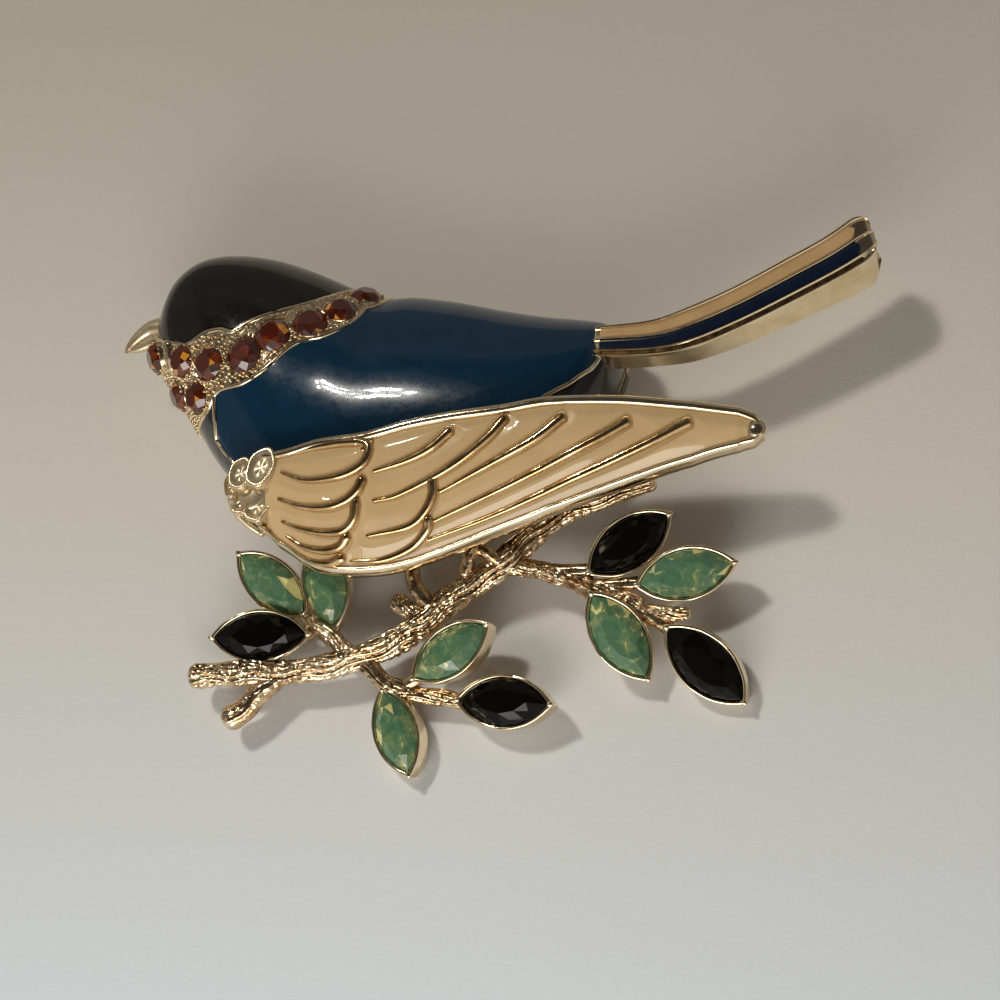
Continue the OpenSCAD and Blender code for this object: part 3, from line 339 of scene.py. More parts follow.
# ------------------------------------------------------------------ meshes
class Piece:
    """Points and faces of one piece of the brooch."""

    def __init__(self):
        self.points, self.faces, self.count = [], [], 0

    def add(self, points, faces):
        points = np.asarray(points, float).reshape(-1, 3)
        self.faces += [[j + self.count for j in face] for face in faces]
        self.points.append(points)
        self.count += len(points)

    def loft(self, rings, caps=True):
        """Closed skin through rings of as many points each."""
        rings = np.asarray(rings, float)
        n, m = rings.shape[:2]
        k, j = np.meshgrid(np.arange(n - 1), np.arange(m), indexing="ij")
        a, b = k * m + j, k * m + (j + 1) % m
        faces = np.stack([a, b, b + m, a + m], -1).reshape(-1, 4).tolist()
        if caps:
            faces += [list(range(m))[::-1], list(range((n - 1) * m, n * m))]
        self.add(rings, faces)

    def slab(self, top, low):
        """Closed solid between two grids of points."""
        self.loft(np.concatenate([top, low[:, ::-1]], axis=1))

    def tube(self, path, radius, sides=14, up=(0, 0, 1), flat=1.0, ends=4, shape=None, sunk=0.0):
        """Round-ended bar along a path; shape(run, turn) scales its radius."""
        path = np.asarray(path, float)
        radius = np.broadcast_to(np.asarray(radius, float), len(path)).copy()
        way = unit(np.gradient(path, axis=0))
        up = np.broadcast_to(np.asarray(up, float), path.shape)
        side = unit(np.cross(up, way))
        top = np.cross(way, side)
        run = np.concatenate([[0], np.cumsum(np.linalg.norm(np.diff(path, axis=0), axis=1))])
        turn = full_turn(sides)
        rows = list(zip(path, way, side, top, radius, run))
        cap = np.linspace(math.pi / 2, 0, ends + 1)[:-1]

        def rounded(row, sign):
            p, w, s, t, r, q = row
            return [(p + sign * w * r * 0.8 * math.sin(c), w, s, t,
                     max(r * math.cos(c), 0.02 * r), q) for c in cap]
        rows = rounded(rows[0], -1) + rows + rounded(rows[-1], 1)[::-1]
        rings = []
        for p, w, s, t, r, q in rows:
            scale = r * (shape(q, turn) if shape else 1.0) * np.ones(sides)
            rings.append(p - t * sunk + (scale * np.cos(turn))[:, None] * s
                         + flat * (scale * np.sin(turn))[:, None] * t)
        self.loft(rings)

    def ball(self, centre, size, along=(1, 0, 0), up=(0, 0, 1), nu=14, nv=9):
        """Rounded lump with half sizes along, across and up."""
        up, along = unit(np.asarray(up, float)), np.asarray(along, float)
        ax = unit(along - (along @ up) * up)
        ay = np.cross(up, ax)
        lon = full_turn(nu)
        size = np.broadcast_to(np.asarray(size, float), 3)
        rings = []
        for b in np.linspace(-88, 88, nv) * math.pi / 180:
            rings.append(np.asarray(centre, float)
                         + (size[0] * math.cos(b) * np.cos(lon))[:, None] * ax
                         + (size[1] * math.cos(b) * np.sin(lon))[:, None] * ay
                         + (size[2] * math.sin(b) * np.ones(nu))[:, None] * up)
        self.loft(rings)

    def skirt(self, west, east):
        """Enamel that runs down the body's straight foot between two places along its front."""
        face = dome(row_at(np.linspace(west, east, 40)), 180 - FIELD_EDGE)
        way = unit(np.gradient(face, axis=0) * [1, 1, 0])
        out = np.stack([way[:, 1], -way[:, 0], np.zeros(40)], -1)
        proud, sunk, foot = 0.06, -0.25, -rim_deep - 0.25
        skin = [face + out * off + [0, 0, low]
                for off, low in ((proud, 0.0), (proud, foot), (sunk, foot), (sunk, 0.0))]
        self.loft(np.stack(skin, axis=1))
        return self

    def make(self, name, material, slot, node, sharp=40, tones=None):
        """The finished object; edges over sharp degrees stay hard, and 0 shades each face flat."""
        mesh = bpy.data.meshes.new(name)
        points = np.vstack(self.points) * MM
        mesh.from_pydata(points.tolist(), [], self.faces)
        shape = bmesh.new()
        shape.from_mesh(mesh)
        bmesh.ops.recalc_face_normals(shape, faces=shape.faces)
        shape.to_mesh(mesh)
        shape.free()
        mesh.polygons.foreach_set("use_smooth", [sharp > 0] * len(mesh.polygons))
        if sharp > 0:
            mesh.set_sharp_from_angle(angle=math.radians(sharp))
        if tones is not None:
            mesh.attributes.new("tone", "FLOAT", "FACE").data.foreach_set("value", tones)
        mesh.materials.append(material)
        piece = bpy.data.objects.new(name, mesh)
        bpy.context.scene.collection.objects.link(piece)
        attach(piece, "root")
        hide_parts(node)

    def cast(self, name, material, node="bird_casting", sharp=40):
        """A piece of plated metal, which stands for one of the two castings."""
        self.make(name, material, "gold", node, sharp)


# ------------------------------------------------------------------ materials
def shader(name, **sockets):
    """A material whose constant values sit on its shader's own sockets."""
    material = bpy.data.materials.new(name)
    material.use_nodes = True
    principled = material.node_tree.nodes["Principled BSDF"]
    for key, value in sockets.items():
        principled.inputs[key.replace("_", " ")].default_value = value
    return material, material.node_tree, principled


def node(tree, kind, links, **values):
    """A shader node with its values set and the outputs that feed its inputs linked."""
    made = tree.nodes.new("ShaderNode" + kind)
    for key, value in values.items():
        made.inputs[key.replace("_", " ")].default_value = value
    for socket, source in links.items():
        tree.links.new(source, made.inputs[socket])
    return made


def noise(tree, size_mm, detail=3.0, rough=0.5, warp=0.0):
    """Noise with features of a size in millimetres, in the object's own space."""
    place = node(tree, "TexCoord", {}).outputs["Object"]
    return node(tree, "TexNoise", {"Vector": place}, Scale=1 / (size_mm * MM), Detail=detail,
                Roughness=rough, Distortion=warp).outputs["Fac"]


def axis(tree, space, name):
    """One coordinate of the shaded point."""
    place = node(tree, "TexCoord", {}).outputs[space]
    return node(tree, "SeparateXYZ", {"Vector": place}).outputs[name]


def blend(tree, factor, stops):
    """Colours along a factor: [(place, (r, g, b))]."""
    colors = node(tree, "ValToRGB", {"Fac": factor})
    points = colors.color_ramp.elements
    while len(points) < len(stops):
        points.new(0.5)
    for point, (place, color) in zip(points, stops):
        point.position = place
        point.color = (*color, 1)
    return colors.outputs["Color"]


def remap(tree, factor, low, high, start=0.3, stop=0.7):
    """A factor's range from start to stop, carried to low to high."""
    return node(tree, "MapRange", {"Value": factor}, From_Min=start, From_Max=stop,
                To_Min=low, To_Max=high).outputs["Result"]


def add_share(tree, factor, share, base):
    """A share of one factor, added to another."""
    made = node(tree, "Math", {})
    made.operation = "MULTIPLY_ADD"
    made.inputs[1].default_value = share
    tree.links.new(factor, made.inputs[0])
    tree.links.new(base, made.inputs[2])
    return made.outputs["Value"]


def bump(tree, principled, factor, deep_mm, strength=1.0, under=None):
    """Relief of a depth in millimetres, on top of the relief under it."""
    links = {"Height": factor} if under is None else {"Height": factor, "Normal": under}
    relief = node(tree, "Bump", links, Strength=strength, Distance=deep_mm * MM)
    tree.links.new(relief.outputs["Normal"], principled.inputs["Normal"])
    return relief.outputs["Normal"]


def gold_material(name, light, dark, rough_low, rough_high, grain_mm, grain_deep, patch=2.5,
                  metal=1.0):
    """Plated gold: darker patches, worn gloss, slow waves and a fine grain; the patches are
    tarnish, and on the bark painted shade and dark reflections.
    """
    material, tree, principled = shader(name, Metallic=metal)
    patina_and_painted_shade = noise(tree, patch, 4.0, 0.6, 0.4)
    tree.links.new(blend(tree, patina_and_painted_shade, [(0.35, dark), (0.62, light)]),
                   principled.inputs["Base Color"])
    wear = noise(tree, 0.7, 3.0)
    tree.links.new(remap(tree, wear, rough_low, rough_high), principled.inputs["Roughness"])
    wave = bump(tree, principled, noise(tree, 1.4, 1.0), 0.01)
    bump(tree, principled, noise(tree, grain_mm, 2.0), grain_deep, 1.0, wave)
    return material


def enamel_material(name, light, dark, rough=0.16, coat=1.0, size=3.0):
    """Fired enamel: a slightly cloudy colour under a clear glossy skin with tiny waves."""
    material, tree, principled = shader(
        name, Metallic=0.0, Coat_Weight=coat, Coat_Roughness=0.03, Coat_IOR=1.5, IOR=1.5,
        Specular_IOR_Level=0.15)
    cloud = noise(tree, size, 4.0, 0.55, 0.6)
    tree.links.new(blend(tree, cloud, [(0.3, dark), (0.7, light)]),
                   principled.inputs["Base Color"])
    tree.links.new(remap(tree, noise(tree, 0.5, 2.0), rough * 0.8, rough * 1.3),
                   principled.inputs["Roughness"])
    bump(tree, principled, noise(tree, 2.2, 1.0), 0.012)
    return material


GOLD = gold_material("plated_gold", (0.97, 0.83, 0.59), (0.84, 0.66, 0.42), 0.08, 0.18,
                     0.12, 0.0012)
GRAIN = gold_material("grained_gold", (1.0, 0.88, 0.64), (0.62, 0.42, 0.22), 0.06, 0.16,
                      0.10, 0.006, patch=0.6)
# A darker, more orange copy of the plated gold for the wing's ridges: painted shade and dark
# reflection.
RIDGE = gold_material("ridge_painted_shade_gold", (0.86, 0.61, 0.32), (0.56, 0.34, 0.15), 0.07, 0.16,
                      0.12, 0.001)
# The bark's dark brown patches are painted shade and dark reflections.
BARK = gold_material("bark_gold", (1.0, 0.80, 0.54), (0.46, 0.27, 0.12), 0.08, 0.22,
                     0.22, 0.03, patch=0.9)
SATIN = gold_material("satin_gold", (0.80, 0.67, 0.46), (0.66, 0.51, 0.32), 0.20, 0.34,
                      0.10, 0.001, metal=0.75)
# Dark brown gold laid in the tail's lower groove: painted shade of the hollow.
GROOVE_PAINTED_SHADE = gold_material("groove_painted_shade_gold", (0.42, 0.27, 0.13), (0.24, 0.14, 0.06), 0.10, 0.2,
                      0.3, 0.01, patch=0.8)
STEEL = gold_material("pin_gold", (0.86, 0.72, 0.50), (0.72, 0.58, 0.38), 0.18, 0.30,
                      0.10, 0.002)
BLACK = enamel_material("black_enamel", (0.012, 0.010, 0.008), (0.006, 0.005, 0.004), coat=0.55)
TEAL = enamel_material("teal_enamel", (0.0045, 0.031, 0.066), (0.003, 0.023, 0.051), coat=0.6)
SLATE = enamel_material("slate_enamel", (0.022, 0.024, 0.028), (0.012, 0.013, 0.016))
NAVY = enamel_material("navy_enamel", (0.007, 0.015, 0.036), (0.004, 0.009, 0.023), coat=0.7)
CREAM = enamel_material("cream_enamel", (0.63, 0.445, 0.225), (0.55, 0.385, 0.19), 0.22, 0.8, 5.0)
CREAM_DEEP = enamel_material("cream_stripe", (0.58, 0.39, 0.19), (0.48, 0.31, 0.14), 0.22, 0.9)


def gem_material(name, stops, rough, transmission, ior, coat=1.0, specular=0.5, cloudy=0.35):
    """Cut glass whose facets differ in tone; its brightest tones are painted glints."""
    material, tree, principled = shader(
        name, IOR=ior, Roughness=rough, Transmission_Weight=transmission,
        Coat_Weight=coat, Coat_Roughness=0.02, Specular_IOR_Level=specular)
    tone = node(tree, "Attribute", {})
    tone.attribute_name = "tone"
    shade = add_share(tree, noise(tree, 1.1, 3.0, 0.6, 0.8), cloudy, tone.outputs["Fac"])
    tree.links.new(blend(tree, shade, stops), principled.inputs["Base Color"])
    return material


# The opal's last stop, pale yellow, is a painted glint that the flashing facets and the brightest
# clouds take.
OPAL = gem_material("opal_glass", [(0.55, (0.060, 0.165, 0.095)), (0.78, (0.105, 0.215, 0.110)),
                                   (0.92, (0.23, 0.30, 0.13)), (1.0, (0.78, 0.72, 0.30))],
                    0.12, 0.12, 1.5, 0.6, 0.3, 0.95)
JET = gem_material("jet_glass", [(0.2, (0.002, 0.002, 0.002)), (0.9, (0.004, 0.003, 0.003))],
                   0.03, 0.0, 1.5, 0.25, 0.1)
# The amber's last stop, bright orange, is a painted glint that the flashing facets take.
AMBER = gem_material("amber_glass", [(0.2, (0.045, 0.006, 0.002)), (0.6, (0.13, 0.018, 0.003)),
                                     (0.85, (0.36, 0.06, 0.006)), (1.0, (1.0, 0.42, 0.05))],
                     0.04, 0.35, 1.6, 0.5)

# ------------------------------------------------------------------ body
UNDER = 0.25                   # depth of the metal under the enamel
LINE, LINE_GAP = 0.21, 0.1     # a metal line's half width, and how far enamel ends off its middle
FIELD_EDGE = edge_angle - 1.5  # degrees from the body's foot to an enamel's outer edge


def body_shell():
    """Hollow shell with its upright foot, and the two bridges that carry the pin's blocks."""
    piece = Piece()
    rows = np.linspace(0, LAST, 190)[:, None]
    angles = np.linspace(0, 180, 91)[None, :]
    deep = UNDER * ramp(np.minimum(angles, 180 - angles), 2, 5)
    outer = dome(rows, angles, deep)
    inner = dome(rows, angles, enamel + wall)[:, ::-1]

    def foot(points):
        return (points * [1, 1, 0] + [0, 0, back_lift])[:, None]
    piece.loft(np.concatenate([foot(outer[:, 0]), outer, foot(outer[:, -1]),
                               foot(inner[:, 0]), inner, foot(inner[:, -1])], axis=1), caps=False)
    for side in (-1, 1):
        x = pin_x + side * (bar_len / 2 - block_len / 2)
        row = body_row(row_at((x - body_west) / body_len))
        south, north = body_mid + row[2] * body_wide + wall, body_mid + row[1] * body_wide - wall
        half, soft, high = bridge_wide / 2, 0.15, back_lift + bridge_deep
        ring = [[x - half, back_lift + soft], [x - half + soft, back_lift],
                [x + half - soft, back_lift], [x + half, back_lift + soft],
                [x + half, high - soft], [x + half - soft, high],
                [x - half + soft, high], [x - half, high - soft]]
        piece.loft([[[p[0], y, p[1]] for p in ring] for y in np.linspace(south, north, 12)])
    piece.cast("body_shell", GOLD)


def pool(west, east, upper, lower, nu, nv, extra=()):
    """Enamel between two angle functions, its face drawn down at the edges."""
    edge, sag, spare = 0.22, 0.10, 0.15      # its width and depth there, and room below
    along = np.sort(np.concatenate([np.linspace(west, east, nu), extra]))
    ends = np.minimum(along - west, east - along) * body_len
    rows = row_at(along)
    a = upper(rows)
    b = np.maximum(lower(rows), a + 0.5)
    s = np.linspace(0, 1, nv)
    s = 0.5 * (0.5 - 0.5 * np.cos(math.pi * s)) + 0.5 * s      # closer together at the edges
    angles = a[:, None] + (b - a)[:, None] * s[None, :]
    r = body_row(rows)
    half = (r[:, 1] - r[:, 2]) / 2 * body_wide
    far = np.minimum(s[None, :], 1 - s[None, :]) * np.radians(b - a)[:, None] * half[:, None]
    far = np.minimum(far, ends[:, None])
    deep = sag * (1 - ramp(far, 0, edge)) ** 2
    piece = Piece()
    piece.slab(dome(rows[:, None], angles, deep), dome(rows[:, None], angles, enamel - spare))
    return piece


def level(angle):
    """An enamel's edge at one angle all along."""
    return lambda i: np.full_like(i, angle)


def beside(seam, side=1):
    """An enamel's edge along a seam, on the seam's front side or, with -1, on its back side."""
    return lambda i: seam_angle(i, seam) + side * degrees_wide(i, LINE_GAP)


def nape_edge(i):
    """The back enamel's upper edge: the collar's seam, which runs out to the body's edge."""
    past = ramp(body_row(i)[..., 0], collar_east - 0.012, collar_east + 0.014)
    seam = beside(NAPE_SEAM)(i)
    return seam + past * (FIELD_EDGE - seam)


def breast_edge(i):
    return np.where(body_row(i)[..., 0] < back_west, beside(NAPE_SEAM)(i), beside(BACK_SEAM)(i))


def rump_edge(i):
    """The back's seam, and past its end a line hidden under the tail."""
    hidden = (tail_mid + 0.30 * tail_wide - body_mid) / body_wide
    return np.maximum(beside(BACK_SEAM)(i), angle_at(i, hidden))


def body_enamels():
    north, south = level(FIELD_EDGE), level(180 - FIELD_EDGE)
    pool(cap_west, cap_east, north, beside(CAP_SEAM, -1), 150, 60
         ).make("cap_enamel", BLACK, "black_enamel", "cap_enamel")
    pool(back_west + 0.003, back_east + 0.004, nape_edge, beside(BACK_SEAM, -1), 260, 90
         ).make("back_enamel", TEAL, "teal_enamel", "back_enamel")
    pool(breast_west, breast_east, breast_edge, south, 80, 26,
         extra=(back_west - 0.001, back_west + 0.001)
         ).make("breast_enamel", SLATE, "slate_enamel", "breast_enamel")
    pool(rump_west, rump_east, rump_edge, south, 60, 30).skirt(rump_west, rump_east + 0.0001
         ).make("rump_enamel", SLATE, "slate_enamel", "rump_enamel")


def on_dome(track):
    """Points and normals of the dome along [along, across] pairs."""
    line = np.asarray(track, float)
    rows = row_at(line[:, 0])
    points = smooth(dome_course(rows, angle_at(rows, line[:, 1])), 0.2)
    return points[:, :3], unit(points[:, 3:6])


def body_lines():
    """Thin raised metal lines between the fields of enamel."""
    piece = Piece()
    wavy = lumps(3, 5, 1.5, 5.0)

    def uneven(s, t):
        return 1 + 0.15 * wavy(s, t)
    for seam, wide in ((CAP_SEAM, 0.24), (NAPE_SEAM, 0.2)):
        line = seam_curve(seam)[::6]
        points, normals = on_dome(line[line[:, 0] > cap_west])
        piece.tube(points, wide, 10, normals, 0.8, sunk=-0.02, shape=uneven)
    # One more line down the breast's end, along the back's seam, and up to the body's edge
    row = row_at(back_west)
    start = dome_course(
        row, np.linspace(seam_angle(row, NAPE_SEAM), seam_angle(row, BACK_SEAM), 14))
    line = seam_curve(BACK_SEAM)[::6]
    line = line[line[:, 0] > back_west + 0.012]
    rows = row_at(line[:, 0])
    turn = angle_at(rows, line[:, 1])
    stop = dome_course(rows[-1], np.linspace(turn[-1], edge_angle, 12)[1:])
    path = smooth(np.vstack([start, dome_course(rows, turn), stop]), 0.2)
    piece.tube(path[:, :3], LINE, 10, unit(path[:, 3:]), 0.9, shape=uneven)
    piece.cast("body_lines", GOLD)


# ------------------------------------------------------------------ collar and its stones
def collar_angles(rows):
    """Angles of the band's edge at the cap and of its edge at the nape."""
    along = body_row(rows)[..., 0]
    upper = np.where(along < CAP_SEAM[-1][0], seam_angle(rows, CAP_SEAM), 1.0)
    lower = np.where(along < NAPE_SEAM[0][0], 179.0, seam_angle(rows, NAPE_SEAM))
    return upper, np.maximum(lower, upper + 0.5)


# Sizes of the collar's stones, as shares of the seats in the part's source
LOOK = [1.30, 1.25, 1.20, 1.20, 1.22, 1.24, 1.42, 1.70, 1.42, 1.45]


def stone_seat(k):
    """A collar stone's frame and its diameter."""
    along, across, size, seat = COLLAR[k]
    i = row_at(along)
    angle = angle_at(i, across)
    up = dome_normal(i, angle)
    return frame_on(dome(i, angle, -collar_proud) + seat * stone_d * up, up,
                    np.array([1, 0.3, 0.1])), size * stone_d * LOOK[k]


def frame_on(point, up, along):
    """A frame on a surface, as columns: along, across, up, and its middle."""
    ax = unit(along - (along @ up) * up)
    return np.column_stack([ax, np.cross(up, ax), up, point])


def placed(seat, points):
    """Points given in a frame, in the brooch's millimetres."""
    points = np.asarray(points, float)
    return points @ seat[:, :3].T + seat[:, 3]


def collar_plate():
    """Cast band with a softly pebbled face."""
    along = np.linspace(collar_west, collar_east - 0.004, 150)
    rows = row_at(along)
    upper, lower = collar_angles(rows)
    s = np.linspace(0, 1, 50)
    angles = upper[:, None] + (lower - upper)[:, None] * s
    rough = lumps(11, 24, 0.5, 1.6)
    deep = (-collar_proud + 0.10 * (1 - np.sin(math.pi * s)[None, :] ** 0.4)
            + 0.05 * rough(along[:, None] * body_len, s[None, :] * 22))
    plate = Piece()
    plate.slab(dome(rows[:, None], angles, deep), dome(rows[:, None], angles, 0.5))
    plate.cast("collar_plate", GRAIN, sharp=60)


def collar_grain(seats):
    """Beads between the stones, the prongs' heads, and the bezel beside the first stone."""
    edge_clear, stone_clear, apart = 0.28, 0.12, 0.36
    grain = Piece()
    rng = np.random.default_rng(5)
    kept = []
    for along, share in rng.uniform(size=(9000, 2)):
        along = collar_west + 0.004 + along * (collar_east - collar_west - 0.016)
        row = row_at(along)
        upper, lower = collar_angles(row)
        turn = upper + (lower - upper) * share
        at = dome(row, turn, -collar_proud)
        if min(share, 1 - share) * np.radians(lower - upper) * 9 < edge_clear:
            continue
        if any(np.linalg.norm(at - seat[:, 3]) < d / 2 + stone_clear for seat, d in seats):
            continue
        if kept and np.min(np.linalg.norm(np.array(kept) - at, axis=1)) < apart:
            continue
        kept.append(at)
        size = rng.uniform(0.15, 0.25)
        grain.ball(at, (size, size * rng.uniform(0.75, 1.1), size * 0.85),
                   rng.normal(size=3), dome_normal(row, turn), 8, 6)
    for k, (seat, d) in enumerate(seats):
        prongs, off = (6 if d > 2 else 5), d / 2 + 0.09
        for turn in np.arange(prongs) * (360 / prongs) + 47 * k:
            a = math.radians(turn)
            at = placed(seat, [off * math.cos(a), off * math.sin(a), 0.05])
            grain.ball(at, rng.uniform(0.13, 0.19), up=seat[:, 2], nu=10, nv=7)
    bezel, out = on_dome([[0.066, 0.092], [0.071, 0.062], [0.071, 0.030]])
    grain.tube(bezel, 0.74, 20, out, 0.8, ends=3, shape=lambda s, t: 1 + 0.06 * math.cos(5 * s))
    grain.cast("collar_grain", GRAIN, sharp=80)


def collar():
    """The band, its grain, and the round stones in their settings."""
    collar_plate()
    seats = [stone_seat(k) for k in range(len(COLLAR))]
    collar_grain(seats)
    cups = Piece()
    turn = full_turn(32)
    outline = np.column_stack([np.cos(turn), np.sin(turn)])
    for k, (seat, d) in enumerate(seats):
        drop = 1.0 if k == 0 else 0.85
        # radius, height: up the outside, over the rim and down inside
        rings = [(0.5 * d + 0.20, -drop), (0.5 * d + 0.15, -0.36), (0.5 * d + 0.10, -0.10),
                 (0.5 * d + 0.06, -0.02), (0.5 * d + 0.01, -0.04), (0.5 * d - 0.02, -0.16),
                 (0.34 * d, -0.55), (0.12 * d, -drop + 0.06)]
        cups.loft([placed(seat, np.column_stack([outline * r, np.full(32, z)])) for r, z in rings])
    cups.cast("collar_settings", GRAIN, sharp=50)
    for k, (seat, d) in enumerate(seats):
        cut_stone("collar_stone_%d" % (k + 1), seat, circle, (d, d), 0.22 * d, seat_deep - 0.06,
                  (0.56, 0.56), (0.2, 0.2), AMBER, "amber_glass", 40 + k, 0.10)


def circle(t):
    return np.array([math.cos(2 * math.pi * t), math.sin(2 * math.pi * t)]) / 2


def navette(t):
    """Leaf outline of two arcs through its tips, in shares of its length and width."""
    t = t % 1
    radius = (leaf_len * leaf_len / 4 + leaf_wide * leaf_wide / 4) / leaf_wide
    reach = math.asin(leaf_len / 2 / radius)
    side = 1 if t < 0.5 else -1
    turn = reach * (1 - 4 * (t % 0.5)) * side
    y = side * (radius * math.cos(turn) - (radius - leaf_wide / 2))
    return np.array([radius * math.sin(turn) / leaf_len, y / leaf_wide])


def cut_stone(name, seat, outline, size, crown, sunk, table, keel, material, slot, seed, painted_glint_share,
              calm=1.0):
    """Faceted stone: table, star, kite and girdle facets above, a cut point or keel below.

    Its facets differ in tone by calm, and a share of them gets a painted glint, the tone at the
    top of the material's colour stops.
    """
    size = np.asarray(size, float)

    def ring(count, start, scale, z):
        return [[*(outline((j + start) / count) * size * scale), z] for j in range(count)]
    top = ring(8, 0, np.asarray(table), crown)
    star = ring(8, 0.5, 0.80, 0.62 * crown)
    girdle = ring(16, 0, 1.0, 0.03)
    low = ring(16, 0, 1.0, -0.12)
    deep = ring(8, 0, np.asarray(keel), -sunk)
    points = np.array(top + star + girdle + low + deep)
    # the rings' first points: 0, 8, 16, 32 and 48
    faces = [list(range(8))]
    for j in range(8):
        s, n, p = 8 + j, (j + 1) % 8, (j - 1) % 8
        u, v = 2 * j, (2 * j + 2) % 16
        faces += [[j, s, n], [j, 8 + p, 16 + u, s], [s, 16 + u, 17 + u], [s, 17 + u, 16 + v],
                  [48 + j, 32 + u, 33 + u], [48 + j, 33 + u, 48 + n], [48 + n, 33 + u, 32 + v]]
    faces += [[16 + j, 16 + (j + 1) % 16, 32 + (j + 1) % 16, 32 + j] for j in range(16)]
    faces.append(list(range(48, 56))[::-1])
    rng = np.random.default_rng(seed)
    tones = 0.32 + calm * rng.uniform(-0.27, 0.30, len(faces))
    # painted glints: these facets take the brightest tone, as if flashing
    tones[rng.uniform(size=len(faces)) < painted_glint_share] = 0.95
    tones[0] = 0.28
    piece = Piece()
    piece.add(placed(seat, points), faces)
    piece.make(name, material, slot, name, sharp=0, tones=tones)


# ------------------------------------------------------------------ beak
def beak():
    """Two halves that hook down to one tip and meet on a mouth line."""
    x, y, z = body_west + 0.6, body_mid + 0.19 * body_wide, dome_foot + 0.32 * body_rise
    piece = Piece()
    # middle and radius
    upper = smooth([[x + 0.9, y + 0.5, z, 1.15], [x, y + 0.5, z, 1.08],
                    [x - 1.1, y + 0.35, z, 0.93], [x - 2.0, y - 0.15, z, 0.74],
                    [x - 2.8, y - 0.9, z, 0.54], [x - 3.35, y - 1.7, z, 0.34],
                    [x - 3.5, y - 2.2, z, 0.16]], 0.12)
    lower = smooth([[x + 0.9, y - 0.85, z - 0.05, 0.95], [x, y - 0.9, z - 0.05, 0.86],
                    [x - 1.1, y - 1.2, z - 0.05, 0.66], [x - 2.1, y - 1.65, z - 0.05, 0.46],
                    [x - 2.9, y - 1.95, z - 0.05, 0.27]], 0.12)
    for path in (upper, lower):
        piece.tube(path[:, :3], path[:, 3], 28, flat=0.95, ends=5)
    piece.cast("beak", SATIN)


# ------------------------------------------------------------------ wing
def wing_casting():
    """Plate with a round rim about a sunk field, a ball at its tip, and two posts."""
    piece = Piece()
    u = np.linspace(0, 1, 260)
    turn = np.linspace(0, math.pi, 11)
    field = -0.25                                      # the sunk field below the rim's middle
    foot = np.where(turn < math.pi / 2, 0.30, 0.22)    # the rim's outer and inner foot
    lift = np.concatenate([[-wing_thick, -wing_thick + 0.12],
                           -foot + (ridge_rise + foot) * np.sin(turn) ** 0.75, np.full(4, field)])
    rings = []
    for a in 0.5 * u + 0.5 * np.sin(math.pi / 2 * u):
        r = wing_row(a)
        wide = max(0.04, (r[1] - r[3]) * wing_wide)
        rim = min(wing_rim, wide / 2)
        reach = np.concatenate([
            [0.10, 0.0], rim / 2 * (1 - np.cos(turn)), np.linspace(rim, wide / 2, 5)[1:]])
        reach = np.minimum(reach, wide / 2)
        under = np.linspace(1, 0, 9)[1:-1] * (wide - 0.2) + 0.1
        full = np.concatenate([reach, (wide - lower_share * reach)[::-1], under])
        height = np.concatenate([lift, lift[::-1], np.full(len(under), -wing_thick - 0.02)])
        rings.append(wing_at(a, r[1] - full / wing_wide, height))
    piece.loft(rings)
    piece.ball(wing_at(0.986, 0.335, -0.36), (0.95, 0.95, 0.62), (1, 0.1, 0), nu=36, nv=19)
    turn = full_turn(24)
    for post in POSTS:
        top = wing_at(*post, -0.3)
        around = top[:2] + 0.8 * np.column_stack([np.cos(turn), np.sin(turn)])
        piece.loft([np.column_stack([around, np.full(24, z)])
                    for z in np.linspace(top[2], top[2] - 3.8, 6)])
    piece.cast("wing_casting", GOLD, "wing_casting", sharp=50)


def ridge_path(points):
    line = smooth([[*p, 0] for p in points], 0.01)
    return smooth(wing_at(line[:, 0], line[:, 1]), 0.2)


RIDGE_PATHS = [ridge_path(points) for points in RIDGES]


def wing_ridges():
    """Feather ridges: half-round, thick at the feather's tip and fine at its root."""
    piece = Piece()
    for k, path in enumerate(RIDGE_PATHS):
        share = np.linspace(0, 1, len(path))
        radius = ridge_wide / 2 * (1.78 - 1.15 * share ** 1.3)
        piece.tube(path, radius, 16, flat=0.88, ends=5, sunk=0.10)
    cluster = wing_at(*RIDGES[0][1])
    rng = np.random.default_rng(8)
    for _ in range(9):
        at = cluster + rng.normal(0, 0.28, 3) * (1, 1, 0.4)
        piece.ball(at, rng.uniform(0.16, 0.3), nu=9, nv=7)
    # the ridges take the darker copy of the gold, which paints their shade
    piece.cast("wing_ridges", RIDGE, "wing_casting", sharp=80)


def wing_enamel():
    """Cream enamel that dips along the rim and beside each ridge."""
    along = np.linspace(0.022, 0.979, 330)
    r = wing_row(along)
    under_rim = 0.85 * wing_rim / wing_wide
    high, low = r[:, 1] - under_rim, r[:, 3] + lower_share * under_rim
    low = np.minimum(low, high - 0.01)
    s = np.linspace(0, 1, 100)
    across = high[:, None] + (low - high)[:, None] * s
    flat = wing_at(along[:, None], across)
    near = np.full(flat.shape[:2], 9.0)
    for path in RIDGE_PATHS:
        for point in path[::2]:
            near = np.minimum(near, np.linalg.norm(flat - point, axis=2))
    edge = np.minimum(s[None, :], 1 - s[None, :]) * (high - low)[:, None] * wing_wide
    near = np.minimum(near, edge + 0.15)
    top = wing_at(along[:, None], across, -0.12 + 0.16 * ramp(near, 0.15, 1.6))
    piece = Piece()
    piece.slab(top, wing_at(along[:, None], across, -0.45))
    piece.make("wing_enamel", CREAM, "cream_enamel", "wing_enamel")


